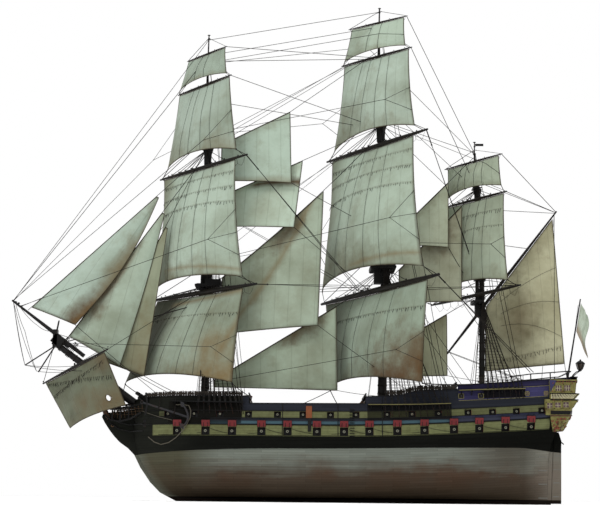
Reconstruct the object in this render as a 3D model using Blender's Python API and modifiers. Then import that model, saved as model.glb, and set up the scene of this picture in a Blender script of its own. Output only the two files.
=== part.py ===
# Scale model of a three-masted, two-decked sailing warship under sail.
# Metres, +Z up, bow towards -X, port side towards -Y.
# The origin is on the keel's underside, halfway along it.

import math

import bmesh
import bpy
import numpy as np
from mathutils import Matrix, Vector

MM = 0.001

# Spaces
GAP = 0.4 * MM  # between pieces that rest on each other

# Hull
KEEL_HEIGHT = 9.0 * MM
KEEL_THICKNESS = 8.0 * MM
STEM_INNER = [(-512, 9), (-553, 23), (-583, 51), (-611, 92), (-629, 125), (-638, 160), (-641, 200), (-642, 360)]
STERN_INNER = [(508, 9), (511, 54), (518, 161), (521, 190), (533, 203), (544, 217), (551, 234), (556, 247),
               (560, 268), (566, 300), (572, 360)]
MIDSHIP_HALF = [(4.5, 9), (34, 12), (64, 17), (92, 27), (115, 43), (133, 66), (144, 95), (150, 130), (151.5, 150),
                (150.5, 175), (145, 205), (137, 235), (130, 265), (124, 300), (118, 360)]
ENTRANCE_LENGTH = [(360, 9), (330, 40), (270, 90), (210, 140), (180, 200), (175, 360)]
RUN_LENGTH = [(520, 9), (480, 60), (430, 120), (380, 170), (330, 220), (320, 360)]
TRANSOM_WIDTH = [(0.0, 9), (0.0, 110), (0.05, 140), (0.22, 165), (0.5, 190), (0.66, 215), (0.72, 260), (0.74, 360)]
WALE_BOTTOM = 143.0
WALE_TOP = 174.0
WALE_PROUD = 2.2
HULL_LEVELS = [9, 11, 14, 19, 27, 38, 54, 74, 98, 122, 142, 143, 158, 174, 175.2, 190, 205, 222, 240, 262, 290,
               320, 350]
HULL_STATIONS = 30
BULWARK = 5.0 * MM
BEYOND_BEAM = 220  # half width of a cutter that spans the hull

# Rail line from bow to stern, as (x, z): each pair of equal x is a break of the deck
RAIL = [(-660, 270), (-600, 278), (-540, 280), (-316, 282), (-316, 262), (0, 264), (0, 283), (90, 288), (140, 301),
        (250, 305), (250, 317), (420, 330), (600, 347)]
# Decks inside the bulwarks, as (first x, last x, z)
DECKS = [(-604, -319, 264), (-313, -3, 246), (3, 247, 276), (253, 562, 305)]
WELL_LEVELS = [290, 320, 356]  # sections of the space above a deck

# Masts: axis x at the deck, deck z, rake, then heights and radii, and how far aft the top reaches
MASTS = {
    "fore": {"x": -447, "foot": 264, "rake": 0.9, "top": 604, "cap": 672, "lower": 11.0, "topmast": 7.0,
             "crosstrees": 1012, "topcap": 1050, "pole": 4.2, "truck": 1356, "aft": 1.2},
    "main": {"x": 52, "foot": 276, "rake": 1.3, "top": 659, "cap": 735, "lower": 13.0, "topmast": 8.2,
             "crosstrees": 1090, "topcap": 1134, "pole": 4.8, "truck": 1445, "aft": 0.85},
    "mizzen": {"x": 333, "foot": 305, "rake": 0.95, "top": 566, "cap": 634, "lower": 8.5, "topmast": 5.6,
               "crosstrees": 898, "topcap": 928, "pole": 3.4, "truck": 1037, "aft": 0.2},
}

# Yards: height, brace angle, half length, greatest radius, parrel depth and the mast section that carries it
YARDS = {
    "fore_course": {"mast": "fore", "on": "lower", "z": 582, "brace": 44, "half": 231, "radius": 7.0, "parrel": 8},
    "fore_topsail": {"mast": "fore", "on": "topmast", "z": 948, "brace": 41.5, "half": 206, "radius": 5.2, "parrel": 8},
    "fore_topgallant": {"mast": "fore", "on": "pole", "z": 1198, "brace": 40.5, "half": 131, "radius": 3.4, "parrel": 4},
    "fore_royal": {"mast": "fore", "on": "pole", "z": 1295, "brace": 42, "half": 94, "radius": 2.4, "parrel": 1},
    "main_course": {"mast": "main", "on": "lower", "z": 594, "brace": 28, "half": 318, "radius": 8.5, "parrel": 8},
    "main_topsail": {"mast": "main", "on": "topmast", "z": 1017, "brace": 36, "half": 229, "radius": 6.2, "parrel": 8},
    "main_topgallant": {"mast": "main", "on": "pole", "z": 1290, "brace": 48, "half": 132, "radius": 3.6, "parrel": 4},
    "main_royal": {"mast": "main", "on": "pole", "z": 1396, "brace": 54, "half": 103, "radius": 2.6, "parrel": 3},
    "crossjack": {"mast": "mizzen", "on": "topmast", "z": 583, "brace": 27, "half": 221, "radius": 5.0, "parrel": 1},
    "mizzen_topsail": {"mast": "mizzen", "on": "topmast", "z": 863, "brace": 34.5, "half": 133, "radius": 4.0,
                       "parrel": 1},
    "mizzen_topgallant": {"mast": "mizzen", "on": "pole", "z": 976, "brace": 37, "half": 118, "radius": 2.8,
                          "parrel": 1},
}

# Square sails: head yard and the share of its half length, then foot yard with the shares of its starboard and port
# arms and the clews' height over it, belly, foot arch and how far the side edges curve in
SQUARE_SAILS = {
    "fore_royal_sail": {"head": "fore_royal", "spread": 0.92, "foot": "fore_topgallant", "clew": (0.88, 0.86), "lift": 9,
                        "belly": 16, "arch": 8, "hollow": 2},
    "fore_topgallant_sail": {"head": "fore_topgallant", "spread": 0.93, "foot": "fore_topsail", "clew": (0.78, 0.80),
                             "lift": 22, "belly": 30, "arch": 18, "hollow": 4},
    "fore_topsail_sail": {"head": "fore_topsail", "spread": 0.84, "foot": "fore_course", "clew": (0.84, 0.82),
                          "lift": 31, "belly": 52, "arch": 24, "hollow": 12},
    "main_royal_sail": {"head": "main_royal", "spread": 0.88, "foot": "main_topgallant", "clew": (0.88, 0.84), "lift": 9,
                        "belly": 16, "arch": 8, "hollow": 2},
    "main_topgallant_sail": {"head": "main_topgallant", "spread": 0.91, "foot": "main_topsail", "clew": (0.8, 0.8),
                             "lift": 20, "belly": 32, "arch": 20, "hollow": 6},
    "main_topsail_sail": {"head": "main_topsail", "spread": 0.81, "foot": "main_course", "clew": (0.93, 0.82),
                          "lift": 34, "belly": 62, "arch": 30, "hollow": 12},
    "mizzen_topgallant_sail": {"head": "mizzen_topgallant", "spread": 0.88, "foot": "mizzen_topsail",
                               "clew": (0.85, 0.87), "lift": 20, "belly": 20, "arch": 12, "hollow": 2},
    "mizzen_topsail_sail": {"head": "mizzen_topsail", "spread": 0.9, "foot": "crossjack", "clew": (0.76, 0.78),
                            "lift": 20, "belly": 28, "arch": 18, "hollow": 6},
}
# The lowest square sails have no yard at the foot, so their clews are points: starboard first, then port
COURSES = {
    "fore_course_sail": {"head": "fore_course", "spread": 0.88, "clews": ((-680, 150, 353), (-362, -150, 318)),
                         "belly": 46, "arch": 22, "hollow": 4},
    "main_course_sail": {"head": "main_course", "spread": 0.91, "clews": ((-88, 208, 330), (146, -212, 318)),
                         "belly": 50, "arch": 22, "hollow": 4},
}

# Stays, each in a plane along the ship: its y, then its corners as (x, z) from the lower end up, and its sag.
# A flying stay is hoisted with its sail and is one piece with it, and a standing one is a piece of its own.
STAYS = {
    "jib_stay": {"y": 0, "corners": [(-954, 529), (-459.2, 996)], "sag": 0, "flying": True},
    "fore_topmast_stay": {"y": -3, "corners": [(-841, 446), (-459, 988)], "sag": 0, "flying": False},
    "fore_inner_stay": {"y": -5.3, "corners": [(-763, 368.6), (-458.6, 1006.5)], "sag": 0, "flying": True},
    "main_topgallant_stay": {"y": 0, "corners": [(-446.3, 1004), (-214, 1123), (39.3, 1308)], "sag": 0,
                             "flying": True},
    "main_middle_stay": {"y": 0, "corners": [(-447.9, 850), (43, 1078)], "sag": 0, "flying": True},
    "main_topmast_stay": {"y": 0, "corners": [(-431.6, 606.2), (42.1, 1050)], "sag": 17, "flying": False},
    "main_stay": {"y": 0, "corners": [(-434.3, 327.4), (48.2, 627)], "sag": 0, "flying": False},
    "mizzen_topgallant_stay": {"y": 0, "corners": [(66.9, 736.4), (318.7, 988.9)], "sag": 0, "flying": True},
    "mizzen_topmast_stay": {"y": 0, "corners": [(72, 626), (323.4, 886.8)], "sag": 0, "flying": False},
    "mizzen_stay": {"y": 0, "corners": [(69, 431), (317.2, 577.6)], "sag": 0, "flying": False},
}
STAY_RADIUS = 0.9
STAY_SIDES = 6
STAY_PARTS = 8  # straight parts of a stay that sags
LUFF_SPACE = 0.6  # from a standing stay to its sail

# Headsails: the stay, the luff's ends as x on the stay, then the clew and the belly
HEADSAILS = {
    "jib": {"stay": "jib_stay", "luff": (-944, -590), "clew": (-817, -36, 484), "belly": 26},
    "fore_topmast_staysail": {"stay": "fore_topmast_stay", "luff": (-834, -592), "clew": (-682, -36, 370),
                              "belly": 20},
    "fore_staysail": {"stay": "fore_inner_stay", "luff": (-752, -570), "clew": (-615, -26, 343), "belly": 8},
}

# Staysails between the masts: the luff's ends on the stay, then the tack, the clew and the belly
STAYSAILS = {
    "main_topgallant_staysail": {"stay": "main_topgallant_stay", "luff": (-414, -216), "tack": (-412, -28, 906),
                                 "clew": (-209, -36, 900), "belly": 12},
    "middle_staysail": {"stay": "main_middle_stay", "luff": (-412, -178), "tack": (-410, -26, 772),
                        "clew": (-200, -36, 770), "belly": 10},
    "main_topmast_staysail": {"stay": "main_topmast_stay", "luff": (-405, -117), "tack": (-403, -20, 464),
                              "clew": (-130, -40, 489), "belly": 16},
    "main_staysail": {"stay": "main_stay", "luff": (-420, -78), "tack": (-419, -1, 316), "clew": (-74, -14, 309),
                      "belly": 10},
    "mizzen_topgallant_staysail": {"stay": "mizzen_topgallant_stay", "luff": (104, 244), "tack": (104, -26, 724),
                                   "clew": (239, -34, 717), "belly": 8},
    "mizzen_topmast_staysail": {"stay": "mizzen_topmast_stay", "luff": (100, 282), "tack": (100, -20, 556),
                                "clew": (275, -34, 562), "belly": 12},
    "mizzen_staysail": {"stay": "mizzen_stay", "luff": (96, 236), "tack": (96, -2, 350), "clew": (234, -20, 353),
                        "belly": 8},
}

# Lateen yard of the mizzen, on the starboard side of its mast, and its sail
LATEEN_LOW = (238, 12.3, 418)
LATEEN_HIGH = (559, 12.3, 835)
LATEEN_PROFILE = [(0, 2.6), (0.2, 4.2), (0.4, 5.0), (0.7, 4.0), (1, 2.2)]
LATEEN_TACK = (344, 6, 369)
LATEEN_CLEW = (566, -10, 391)
LATEEN_THROAT_X = 346
LATEEN_PEAK_X = 543
LATEEN_BELLY = 22

# Bowsprit, jibboom and the square sail under them
BOWSPRIT_HEEL = (-632, 0, 261)
BOWSPRIT_END = (-878, 0, 440)
BOWSPRIT_RADIUS = 12.0
BOWSPRIT_PROFILE = [(0, BOWSPRIT_RADIUS), (0.5, 10.5), (1, 8.0)]
BOWSPRIT_CAP_LOW = (-878, -11, 424)
BOWSPRIT_CAP_HIGH = (-866, 11, 474)
JIBBOOM_HEEL = (-789, 0, 400)
JIBBOOM_END = (-1000, 0, 557)
JIBBOOM_RADIUS = 5.9
JIBBOOM_PROFILE = [(0, JIBBOOM_RADIUS), (0.4, JIBBOOM_RADIUS), (1, 2.8)]
SPRIT_YARD_NEAR = (-705, -120, 407)
SPRIT_YARD_FAR = (-925, 120, 331)
SPRIT_YARD_PROFILE = [(0, 2.2), (0.25, 3.6), (0.5, 4.6), (0.75, 3.6), (1, 2.2)]
SPRIT_SLING_HEIGHT = 11.3
SPRIT_SLING_RADIUS = 2.4
SPRITSAIL_FOOT_NEAR = (-652, -112, 256)
SPRITSAIL_FOOT_FAR = (-838, 102, 203)
SPRITSAIL_SPREAD = 0.9
SPRITSAIL_AHEAD = (-0.74, -0.67, 0)
SPRITSAIL_BELLY = 22
SPRITSAIL_ARCH = 10

# Rudder
RUDDER_RADIUS = 3.4
HINGE_FOOT = (519, 0)
HINGE_HEAD = (531, 203)
POST_TOP = 190
RUDDER_LOW = 2.5
RUDDER_HIGH = 199.0
RUDDER_BACK = [(546, RUDDER_HIGH), (553, 175), (552, 160), (548, RUDDER_LOW)]

# Stem and knee of the head, from the keel forwards and up
STEM_OUTER = [(-519, 0), (-535, 8), (-564, 23), (-592, 51), (-621, 92), (-638, 125), (-656, 143), (-679, 159),
              (-694, 174), (-708, 191), (-723, 213), (-732, 229), (-728, 240), (-700, 243), (-670, 246), (-650, 250)]
KNEE_TOP = 250

# Stern galleries as lines round the stern from low to high: the front end's x on the ship's side, then the after
# corner's x and z, half the width, and x and z on the centre line
GALLERY_LINES = [(513, 521, 197, 95, 544, 203), (508, 530, 210, 105, 553, 217), (504, 545, 227, 113, 561, 233),
                 (503, 555, 240, 115, 567, 245), (503, 560, 260, 115, 570, 265), (503, 578, 281.5, 116, 584, 286),
                 (503, 568, 284.5, 115, 575, 290), (503, 581, 298, 116, 587, 303), (503, 570, 301, 115, 577, 307),
                 (503, 575, 335, 113, 582, 345)]
GALLERY_TURN = (0.84, 0.35, 3)  # where the stern's face starts: shares of the half width and rise, x short of the middle
GALLERY_FLAT = 0.3  # share of the half width that is level with the middle
TAFFRAIL = [(565, -95, 330), (582, 95, 345.4)]
RUDDER_TRUNK = [(500, -30, 180), (560, 30, 203)]  # corners of the space over the rudder's head

# Gun ports: (x, z) of the lower and the upper row, half width and half height, depth into the side
LOWER_PORTS = [(-508, 188.7), (-431, 188.7), (-360, 188.7), (-281, 188.7), (-211, 188.7), (-132, 188.7), (-59, 189.5),
               (9, 191.2), (84, 193), (157, 195.7), (236.5, 199.2), (305.5, 202.8), (377.5, 207), (449, 211.5)]
UPPER_PORTS = [(-535, 232.4), (-463.5, 232.4), (-393.5, 232.4), (-316.7, 232.4), (-238.5, 232.4), (-169.7, 232.4),
               (-95.5, 232.5), (-26.7, 233.6), (57, 236), (124.5, 238.1), (196, 240.8), (276, 244.3), (343, 247.7),
               (409, 251.1), (480, 255.1)]
LOWER_PORT_HALF = (10.5, 9.0)
UPPER_PORT_HALF = (9.5, 8.0)
PORT_DEPTH = 7.0
GUN_RADIUS = 3.0
GUN_REACH = 6.0
GUN_SIDES = 6
LID_HEIGHT = 17.5
LID_LEAN = 6.5
LID_THICKNESS = 1.8
LID_ABOVE = 1.2  # from the port's upper edge to the lid

# Channels, the ledges that spread the shrouds: stations as (x, z) along the side, and their width
CHANNELS = [[(-524, 266), (-470, 265.4), (-400, 265), (-329, 264.7)],
            [(6, 261.3), (80, 262), (150, 263.6), (229, 266.6)],
            [(252, 302.8), (310, 305), (370, 307.6), (434, 310.2)]]
CHANNEL_WIDTH = 18
CHANNEL_THICKNESS = 2.6
ROOTED = 2.0  # how far a fitting runs into the hull that carries it

# Beams at the bow that carry the anchors, from the deck outwards, on the port side
CATHEAD = [(-592, -84, 270), (-622, -128, 288)]
CATHEAD_SIZE = 7

# Head: its platform's half widths along x, and the rails on its port side, from the hull to the knee's tip
HEAD_FLOOR = [(-626, 60), (-650, 50), (-675, 36), (-700, 20), (-722, 9)]
HEAD_FLOOR_Z = (251.0, 253.2)
HEAD_RAILS = [[(-600, -88, 264), (-640, -66, 256), (-680, -36, 251.5), (-710, -15, 252), (-728, -6.5, 260)],
              [(-612, -84, 238), (-645, -52, 222), (-680, -24, 216), (-708, -9, 222), (-724, -6.5, 236)]]
HEAD_RAIL_SIZE = 4.4
HEAD_TIMBERS = [(-650, -58, 254, -652, -47, 221), (-676, -39, 252, -678, -27, 217), (-700, -22, 252, -702, -12.5, 221)]
HEAD_TIMBER_SIZE = 3.4
HEAD_ROOM = (122, 300)  # heights between which the hull's bow is cut out of the head

# Open rail round the poop, on the port side from forward aft, then across the stern
POOP_RAIL = [(394, 343), (453, 352), (508, 357), (556, 362)]
POOP_POSTS = [(400, 343.9), (453, 352), (508, 357), (556, 362)]
POOP_RAIL_SIZE = 2.8
POOP_RAIL_AFT = (567, 362)
POOP_RAIL_TURN = 2  # how much nearer to the centre line the rail's after corner is

# Stern lantern: its bracket and its turned body, on the centre line
LANTERN_BRACKET = [(580, 347.2), (592, 361), (611, 372)]
LANTERN_BRACKET_SIZE = 3.6
LANTERN_BASE = (611, 371)
LANTERN_TOP = (613, 405)
LANTERN_PROFILE = [(0, 3.0), (0.12, 7.0), (0.62, 10.5), (0.66, 11.5), (0.85, 5.0), (0.9, 2.2), (1, 2.6)]
LANTERN_SIDES = 8

# Poles under the bowsprit's end that spread the lower rigging
STRIKERS = [(-952, -14, 371), (-919, 14, 355)]
STRIKER_TOP = (-872, 0, 428)
STRIKER_RADIUS = 2.0
STRIKER_SIDES = 6

# Flagstaff and ensign
STAFF_FOOT = (574.5, 345.9)
STAFF_HEAD = (618, 577)
STAFF_PROFILE = [(0, 2.6), (1, 1.8)]
ENSIGN_HOIST = (0.95, 0.6)  # shares of the staff's length, top and bottom
ENSIGN_FLY_TOP = (637, 0, 530)
ENSIGN_FLY_LOW = (629, 0, 407)
ENSIGN_WAVE = 5

SAIL_THICKNESS = 1.0 * MM

COLOURS = {
    "white_bottom": ((0.62, 0.60, 0.56), 0.6),
    "black_hull": ((0.02, 0.02, 0.022), 0.5),
    "spar": ((0.02, 0.018, 0.016), 0.5),
    "sailcloth": ((0.40, 0.42, 0.34), 0.9),
    "ochre": ((0.30, 0.27, 0.08), 0.5),
    "flag": ((0.45, 0.48, 0.42), 0.9),
    "rope": ((0.04, 0.03, 0.02), 0.8),
}


def clear_scene():
    for obj in list(bpy.data.objects):
        bpy.data.objects.remove(obj, do_unlink=True)


def new_collection(name):
    made = bpy.data.collections.new(name)
    bpy.context.scene.collection.children.link(made)
    return made


def surface(name):
    found = bpy.data.materials.get(name)
    if found:
        return found
    colour, roughness = COLOURS[name]
    made = bpy.data.materials.new(name)
    made.use_nodes = True
    shader = made.node_tree.nodes["Principled BSDF"]
    shader.inputs["Base Color"].default_value = (*colour, 1.0)
    shader.inputs["Roughness"].default_value = roughness
    made.diffuse_color = (*colour, 1.0)
    return made


def new_object(name, mesh, finish, group):
    obj = bpy.data.objects.new(name, mesh)
    group.objects.link(obj)
    mesh.materials.append(surface(finish))
    return obj


def from_bmesh(name, bm, finish, group):
    bmesh.ops.recalc_face_normals(bm, faces=bm.faces)
    mesh = bpy.data.meshes.new(name)
    bm.to_mesh(mesh)
    bm.free()
    return new_object(name, mesh, finish, group)


def hide_cutter(obj):
    obj.hide_render = True
    obj.display_type = "WIRE"


def combine(target, other, operation):
    """Adds a Boolean modifier that joins or cuts target with other."""
    hide_cutter(other)
    step = target.modifiers.new(operation.lower(), "BOOLEAN")
    step.operation = operation
    step.solver = "EXACT"
    step.object = other


def block(name, low, high, finish, group):
    """A box between two corners given in millimetres."""
    bm = bmesh.new()
    bmesh.ops.create_cube(bm, size=1.0)
    low = Vector(low) * MM
    high = Vector(high) * MM
    size = high - low
    bmesh.ops.transform(bm, matrix=Matrix.Translation((low + high) / 2) @ Matrix.Diagonal((*size, 1.0)), verts=bm.verts)
    return from_bmesh(name, bm, finish, group)


def turned(name, profile, start, end, sides, finish, group):
    """A turned spar from start to end. The profile holds (share of the length, radius) from start to end."""
    start = Vector(start) * MM
    end = Vector(end) * MM
    length = (end - start).length
    points = [(0.0, 1.0)] + [(radius * MM, 1.0 - share) for share, radius in profile] + [(0.0, 0.0)]
    mesh = bpy.data.meshes.new(name)
    mesh.from_pydata([(radius, 0, height * length) for radius, height in points],
                     [(i, i + 1) for i in range(len(points) - 1)], [])
    obj = new_object(name, mesh, finish, group)
    screw = obj.modifiers.new("turn", "SCREW")
    screw.steps = sides
    screw.render_steps = sides
    screw.use_merge_vertices = True
    screw.merge_threshold = 0.00001
    screw.use_smooth_shade = True
    obj.location = end
    obj.rotation_mode = "QUATERNION"
    obj.rotation_quaternion = (start - end).to_track_quat("Z", "Y")
    return obj


def plate(name, outline, thickness, finish, group, middle=0.0):
    """A flat piece in the centre plane from an outline of (x, z) points in millimetres."""
    bm = bmesh.new()
    corners = [bm.verts.new((x * MM, (middle - thickness / 2) * MM, z * MM)) for x, z in outline]
    face = bm.faces.new(corners)
    grown = bmesh.ops.extrude_face_region(bm, geom=[face])
    moved = [v for v in grown["geom"] if isinstance(v, bmesh.types.BMVert)]
    bmesh.ops.translate(bm, vec=(0, thickness * MM, 0), verts=moved)
    return from_bmesh(name, bm, finish, group)


def value_at(table, z):
    """Reads a table of (value, z) pairs at a height z, both in millimetres."""
    return float(np.interp(z, [pair[1] for pair in table], [pair[0] for pair in table]))


def half_breadth(x, z):
    """Half the hull's breadth at x and z, all in millimetres."""
    first = value_at(STEM_INNER, z)
    last = value_at(STERN_INNER, z)
    ahead = min(1.0, max(0.0, (x - first) / value_at(ENTRANCE_LENGTH, z)))
    behind = min(1.0, max(0.0, (last - x) / value_at(RUN_LENGTH, z)))
    bluff = float(np.interp(z, [9, 80, 200], [1.0, 0.75, 0.55]))
    bow = (1 - (1 - ahead) ** 2.1) ** bluff
    tail = value_at(TRANSOM_WIDTH, z)
    stern = tail + (1 - tail) * (1 - (1 - behind) ** 2.0)
    proud = WALE_PROUD if WALE_BOTTOM <= z <= WALE_TOP else 0.0
    return max(4.0, value_at(MIDSHIP_HALF, z) * bow * stern + proud * min(1.0, 8 * ahead))


def hull_loft(name, levels, inset, finish, group):
    """A closed loft through level sections of the hull, inset by a wall in millimetres."""
    bm = bmesh.new()
    rows = []
    for z in levels:
        first = value_at(STEM_INNER, z) + inset
        last = value_at(STERN_INNER, z) - inset
        row = []
        for i in range(HULL_STATIONS + 1):
            t = i / HULL_STATIONS
            eased = 0.5 - 0.5 * math.cos(math.pi * t)
            s = 0.5 * t + 0.5 * eased
            x = first + (last - first) * s
            row.append((x, max(3.0, half_breadth(x, z) - inset), z))
        rows.append(row)
    grid = []
    for row in rows:
        port = [bm.verts.new((x * MM, -y * MM, z * MM)) for x, y, z in row]
        starboard = [bm.verts.new((x * MM, y * MM, z * MM)) for x, y, z in reversed(row)]
        grid.append(port + starboard)
    count = len(grid[0])
    for lower, upper in zip(grid, grid[1:]):
        for i in range(count):
            j = (i + 1) % count
            bm.faces.new((lower[i], lower[j], upper[j]))
            bm.faces.new((lower[i], upper[j], upper[i]))
    for loop in (grid[0], grid[-1]):
        half = count // 2
        for i in range(half - 1):
            bm.faces.new((loop[i], loop[i + 1], loop[count - 2 - i], loop[count - 1 - i]))
    return from_bmesh(name, bm, finish, group)


def closed_loft(bm, rings):
    """Adds a closed form through rings of points in millimetres, with a face over each end."""
    made = [[bm.verts.new(Vector(spot) * MM) for spot in ring] for ring in rings]
    count = len(made[0])
    for ring, following in zip(made, made[1:]):
        for k in range(count):
            j = (k + 1) % count
            bm.faces.new((ring[k], ring[j], following[j], following[k]))
    for ring in (made[0], made[-1]):
        for k in range(count // 2 - 1):
            bm.faces.new((ring[k], ring[k + 1], ring[count - 2 - k], ring[count - 1 - k]))


def bar(bm, line, size):
    """Adds a square bar along points in millimetres."""
    line = [Vector(spot) for spot in line]
    rings = []
    for i, spot in enumerate(line):
        run = (line[min(i + 1, len(line) - 1)] - line[max(i - 1, 0)]).normalized()
        side = run.cross(Vector((0, 0, 1)) if abs(run.z) < 0.9 else Vector((1, 0, 0))).normalized()
        rise = side.cross(run)
        rings.append([spot + (side * a + rise * b) * size / 2 for a, b in ((-1, -1), (1, -1), (1, 1), (-1, 1))])
    closed_loft(bm, rings)


def both_sides(line):
    """A line of the port side and the same line mirrored to starboard."""
    return [[Vector(spot) for spot in line], [Vector((x, -y, z)) for x, y, z in line]]


def port_recesses(group):
    """One cutter with a box for every gun port."""
    bm = bmesh.new()
    for ports, (half_x, half_z) in ((LOWER_PORTS, LOWER_PORT_HALF), (UPPER_PORTS, UPPER_PORT_HALF)):
        for x, z in ports:
            for side in (-1, 1):
                surface_y = half_breadth(x, z)
                ys = side * (surface_y - PORT_DEPTH), side * (surface_y + 2 * PORT_DEPTH)
                closed_loft(bm, [[(x + a * half_x, y, z + b * half_z) for a, b in ((-1, -1), (1, -1), (1, 1), (-1, 1))]
                                 for y in ys])
    return from_bmesh("port_recesses", bm, "black_hull", group)


def side_fittings(group):
    """Guns, lids, channels and catheads, rooted in the hull."""
    bm = bmesh.new()
    for x, z in LOWER_PORTS + UPPER_PORTS:
        for side in (-1, 1):
            surface_y = half_breadth(x, z)
            turns = [2 * math.pi * (k + 0.5) / GUN_SIDES for k in range(GUN_SIDES)]
            closed_loft(bm, [[(x + GUN_RADIUS * math.cos(a), side * (surface_y + reach), z + GUN_RADIUS * math.sin(a))
                              for a in turns] for reach in (-PORT_DEPTH - ROOTED, GUN_REACH)])
    for x, z in LOWER_PORTS:
        foot = z + LOWER_PORT_HALF[1] + LID_ABOVE
        for side in (-1, 1):
            inner = half_breadth(x, foot) - ROOTED
            rings = []
            for height, y in ((foot, inner), (foot + LID_HEIGHT, inner + ROOTED + LID_LEAN)):
                rings.append([(x + a * LOWER_PORT_HALF[0], side * (y + b * LID_THICKNESS), height)
                              for a, b in ((-1, 0), (1, 0), (1, 1), (-1, 1))])
            closed_loft(bm, rings)
    for stations in CHANNELS:
        for side in (-1, 1):
            rings = []
            for x, z in stations:
                inner = half_breadth(x, z) - ROOTED
                outer = half_breadth(x, z) + CHANNEL_WIDTH
                rings.append([(x, side * y, z + rise) for y, rise in
                              ((inner, 0), (outer, 0), (outer, CHANNEL_THICKNESS), (inner, CHANNEL_THICKNESS))])
            closed_loft(bm, rings)
    for line in both_sides(CATHEAD):
        bar(bm, line, CATHEAD_SIZE)
    return from_bmesh("side_fittings", bm, "black_hull", group)


def build_head(group, cutters):
    """The platform and rails ahead of the bow, over the knee of the head."""
    rings = [[(x, -half, low) for low in HEAD_FLOOR_Z] + [(x, half, low) for low in reversed(HEAD_FLOOR_Z)]
             for x, half in HEAD_FLOOR]
    bm = bmesh.new()
    closed_loft(bm, rings)
    head = from_bmesh("beakhead", bm, "black_hull", group)
    for n, line in enumerate(HEAD_RAILS + [[timber[:3], timber[3:]] for timber in HEAD_TIMBERS]):
        size = HEAD_RAIL_SIZE if n < len(HEAD_RAILS) else HEAD_TIMBER_SIZE
        for side, spots in zip(("port", "starboard"), both_sides(line)):
            bm = bmesh.new()
            bar(bm, spots, size)
            combine(head, from_bmesh(f"head_rail_{n}_{side}", bm, "black_hull", cutters), "UNION")
    gap = GAP / MM
    low, high = HEAD_ROOM
    body = hull_loft("bow_room", [z for z in HULL_LEVELS if low < z < high], -2 * gap, "black_hull", cutters)
    combine(head, body, "DIFFERENCE")
    heel, end = Vector(BOWSPRIT_HEEL), Vector(BOWSPRIT_END)
    room = BOWSPRIT_RADIUS + 2 * gap
    bed = turned("head_bowsprit_room", [(0, room), (1, room)], heel - (end - heel) * 0.1, end, 16, "black_hull", cutters)
    combine(head, bed, "DIFFERENCE")
    return head


def build_poop_rail(group, cutters):
    """The open rail on posts round the poop."""
    gap = GAP / MM
    half = POOP_RAIL_SIZE / 2

    def edge(x):
        return -(half_breadth(x, 340) - BULWARK / MM / 2)

    port = [(x, edge(x), z) for x, z in POOP_RAIL]
    aft_x, aft_z = POOP_RAIL_AFT
    aft = (aft_x, edge(aft_x) + POOP_RAIL_TURN, aft_z)
    line = port + [aft] + [(x, -y, z) for x, y, z in reversed(port + [aft])]
    bm = bmesh.new()
    bar(bm, line, POOP_RAIL_SIZE)
    rail = from_bmesh("poop_rail", bm, "spar", group)
    for n, (x, z) in enumerate(POOP_POSTS):
        foot = value_at([(height, place) for place, height in RAIL], x) + gap
        for side in (-1, 1):
            y = side * -edge(x)
            post = block(f"poop_post_{n}_{side}", (x - half, y - half, foot), (x + half, y + half, z), "spar", cutters)
            combine(rail, post, "UNION")
    return rail


def build_lantern(group, cutters):
    """The lantern over the stern on its bracket."""
    base, top = [Vector((x, 0, z)) for x, z in (LANTERN_BASE, LANTERN_TOP)]
    lantern = turned("stern_lantern", LANTERN_PROFILE, base, top, LANTERN_SIDES, "spar", group)
    bm = bmesh.new()
    bar(bm, [(x, 0, z) for x, z in LANTERN_BRACKET], LANTERN_BRACKET_SIZE)
    combine(lantern, from_bmesh("lantern_bracket", bm, "spar", cutters), "UNION")
    return lantern


def build_hull(group, cutters):
    hull = hull_loft("hull", HULL_LEVELS, 0.0, "black_hull", group)
    above = RAIL + [(700, 347), (700, 420), (-700, 420), (-700, 270)]
    combine(hull, plate("above_rail", above, 2 * BEYOND_BEAM, "black_hull", cutters), "DIFFERENCE")
    for n, (first, last, z) in enumerate(DECKS):
        levels = [z] + [level for level in WELL_LEVELS if level > z]
        well = hull_loft(f"well_{n}", levels, BULWARK / MM, "black_hull", cutters)
        span = block(f"well_span_{n}", (first, -200, z - 10), (last, 200, 380), "black_hull", cutters)
        combine(well, span, "INTERSECT")
        combine(hull, well, "DIFFERENCE")
    combine(hull, port_recesses(cutters), "DIFFERENCE")
    combine(hull, side_fittings(cutters), "UNION")
    heel = Vector(BOWSPRIT_HEEL)
    ahead = (Vector(BOWSPRIT_END) - heel).normalized()
    bed = BOWSPRIT_RADIUS + GAP / MM
    seat = turned("bowsprit_seat", [(0, bed), (1, bed)], heel - ahead * GAP / MM, heel + ahead * 120, 16,
                  "black_hull", cutters)
    combine(hull, seat, "DIFFERENCE")
    return hull


def build_keel(group):
    """Keel, stem with the knee of the head, and sternpost, as one flat piece."""
    gap = GAP / MM
    foot = HULL_LEVELS[0]
    keel_top = KEEL_HEIGHT / MM - gap
    outer = [(hinge_x(POST_TOP), POST_TOP), (HINGE_FOOT[0], 0)] + STEM_OUTER
    stem = [(value_at(STEM_INNER, z) - gap, z) for z in reversed(HULL_LEVELS) if foot < z < KNEE_TOP]
    inner = [(STEM_INNER[-1][0] - gap, KNEE_TOP)] + stem + [(STEM_INNER[0][0] - gap, keel_top)]
    post = [(STERN_INNER[0][0] + gap, keel_top)]
    post += [(value_at(STERN_INNER, z) + gap, z) for z in HULL_LEVELS if foot < z <= POST_TOP]
    return plate("keel", outer + inner + post, KEEL_THICKNESS / MM, "black_hull", group)


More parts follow.
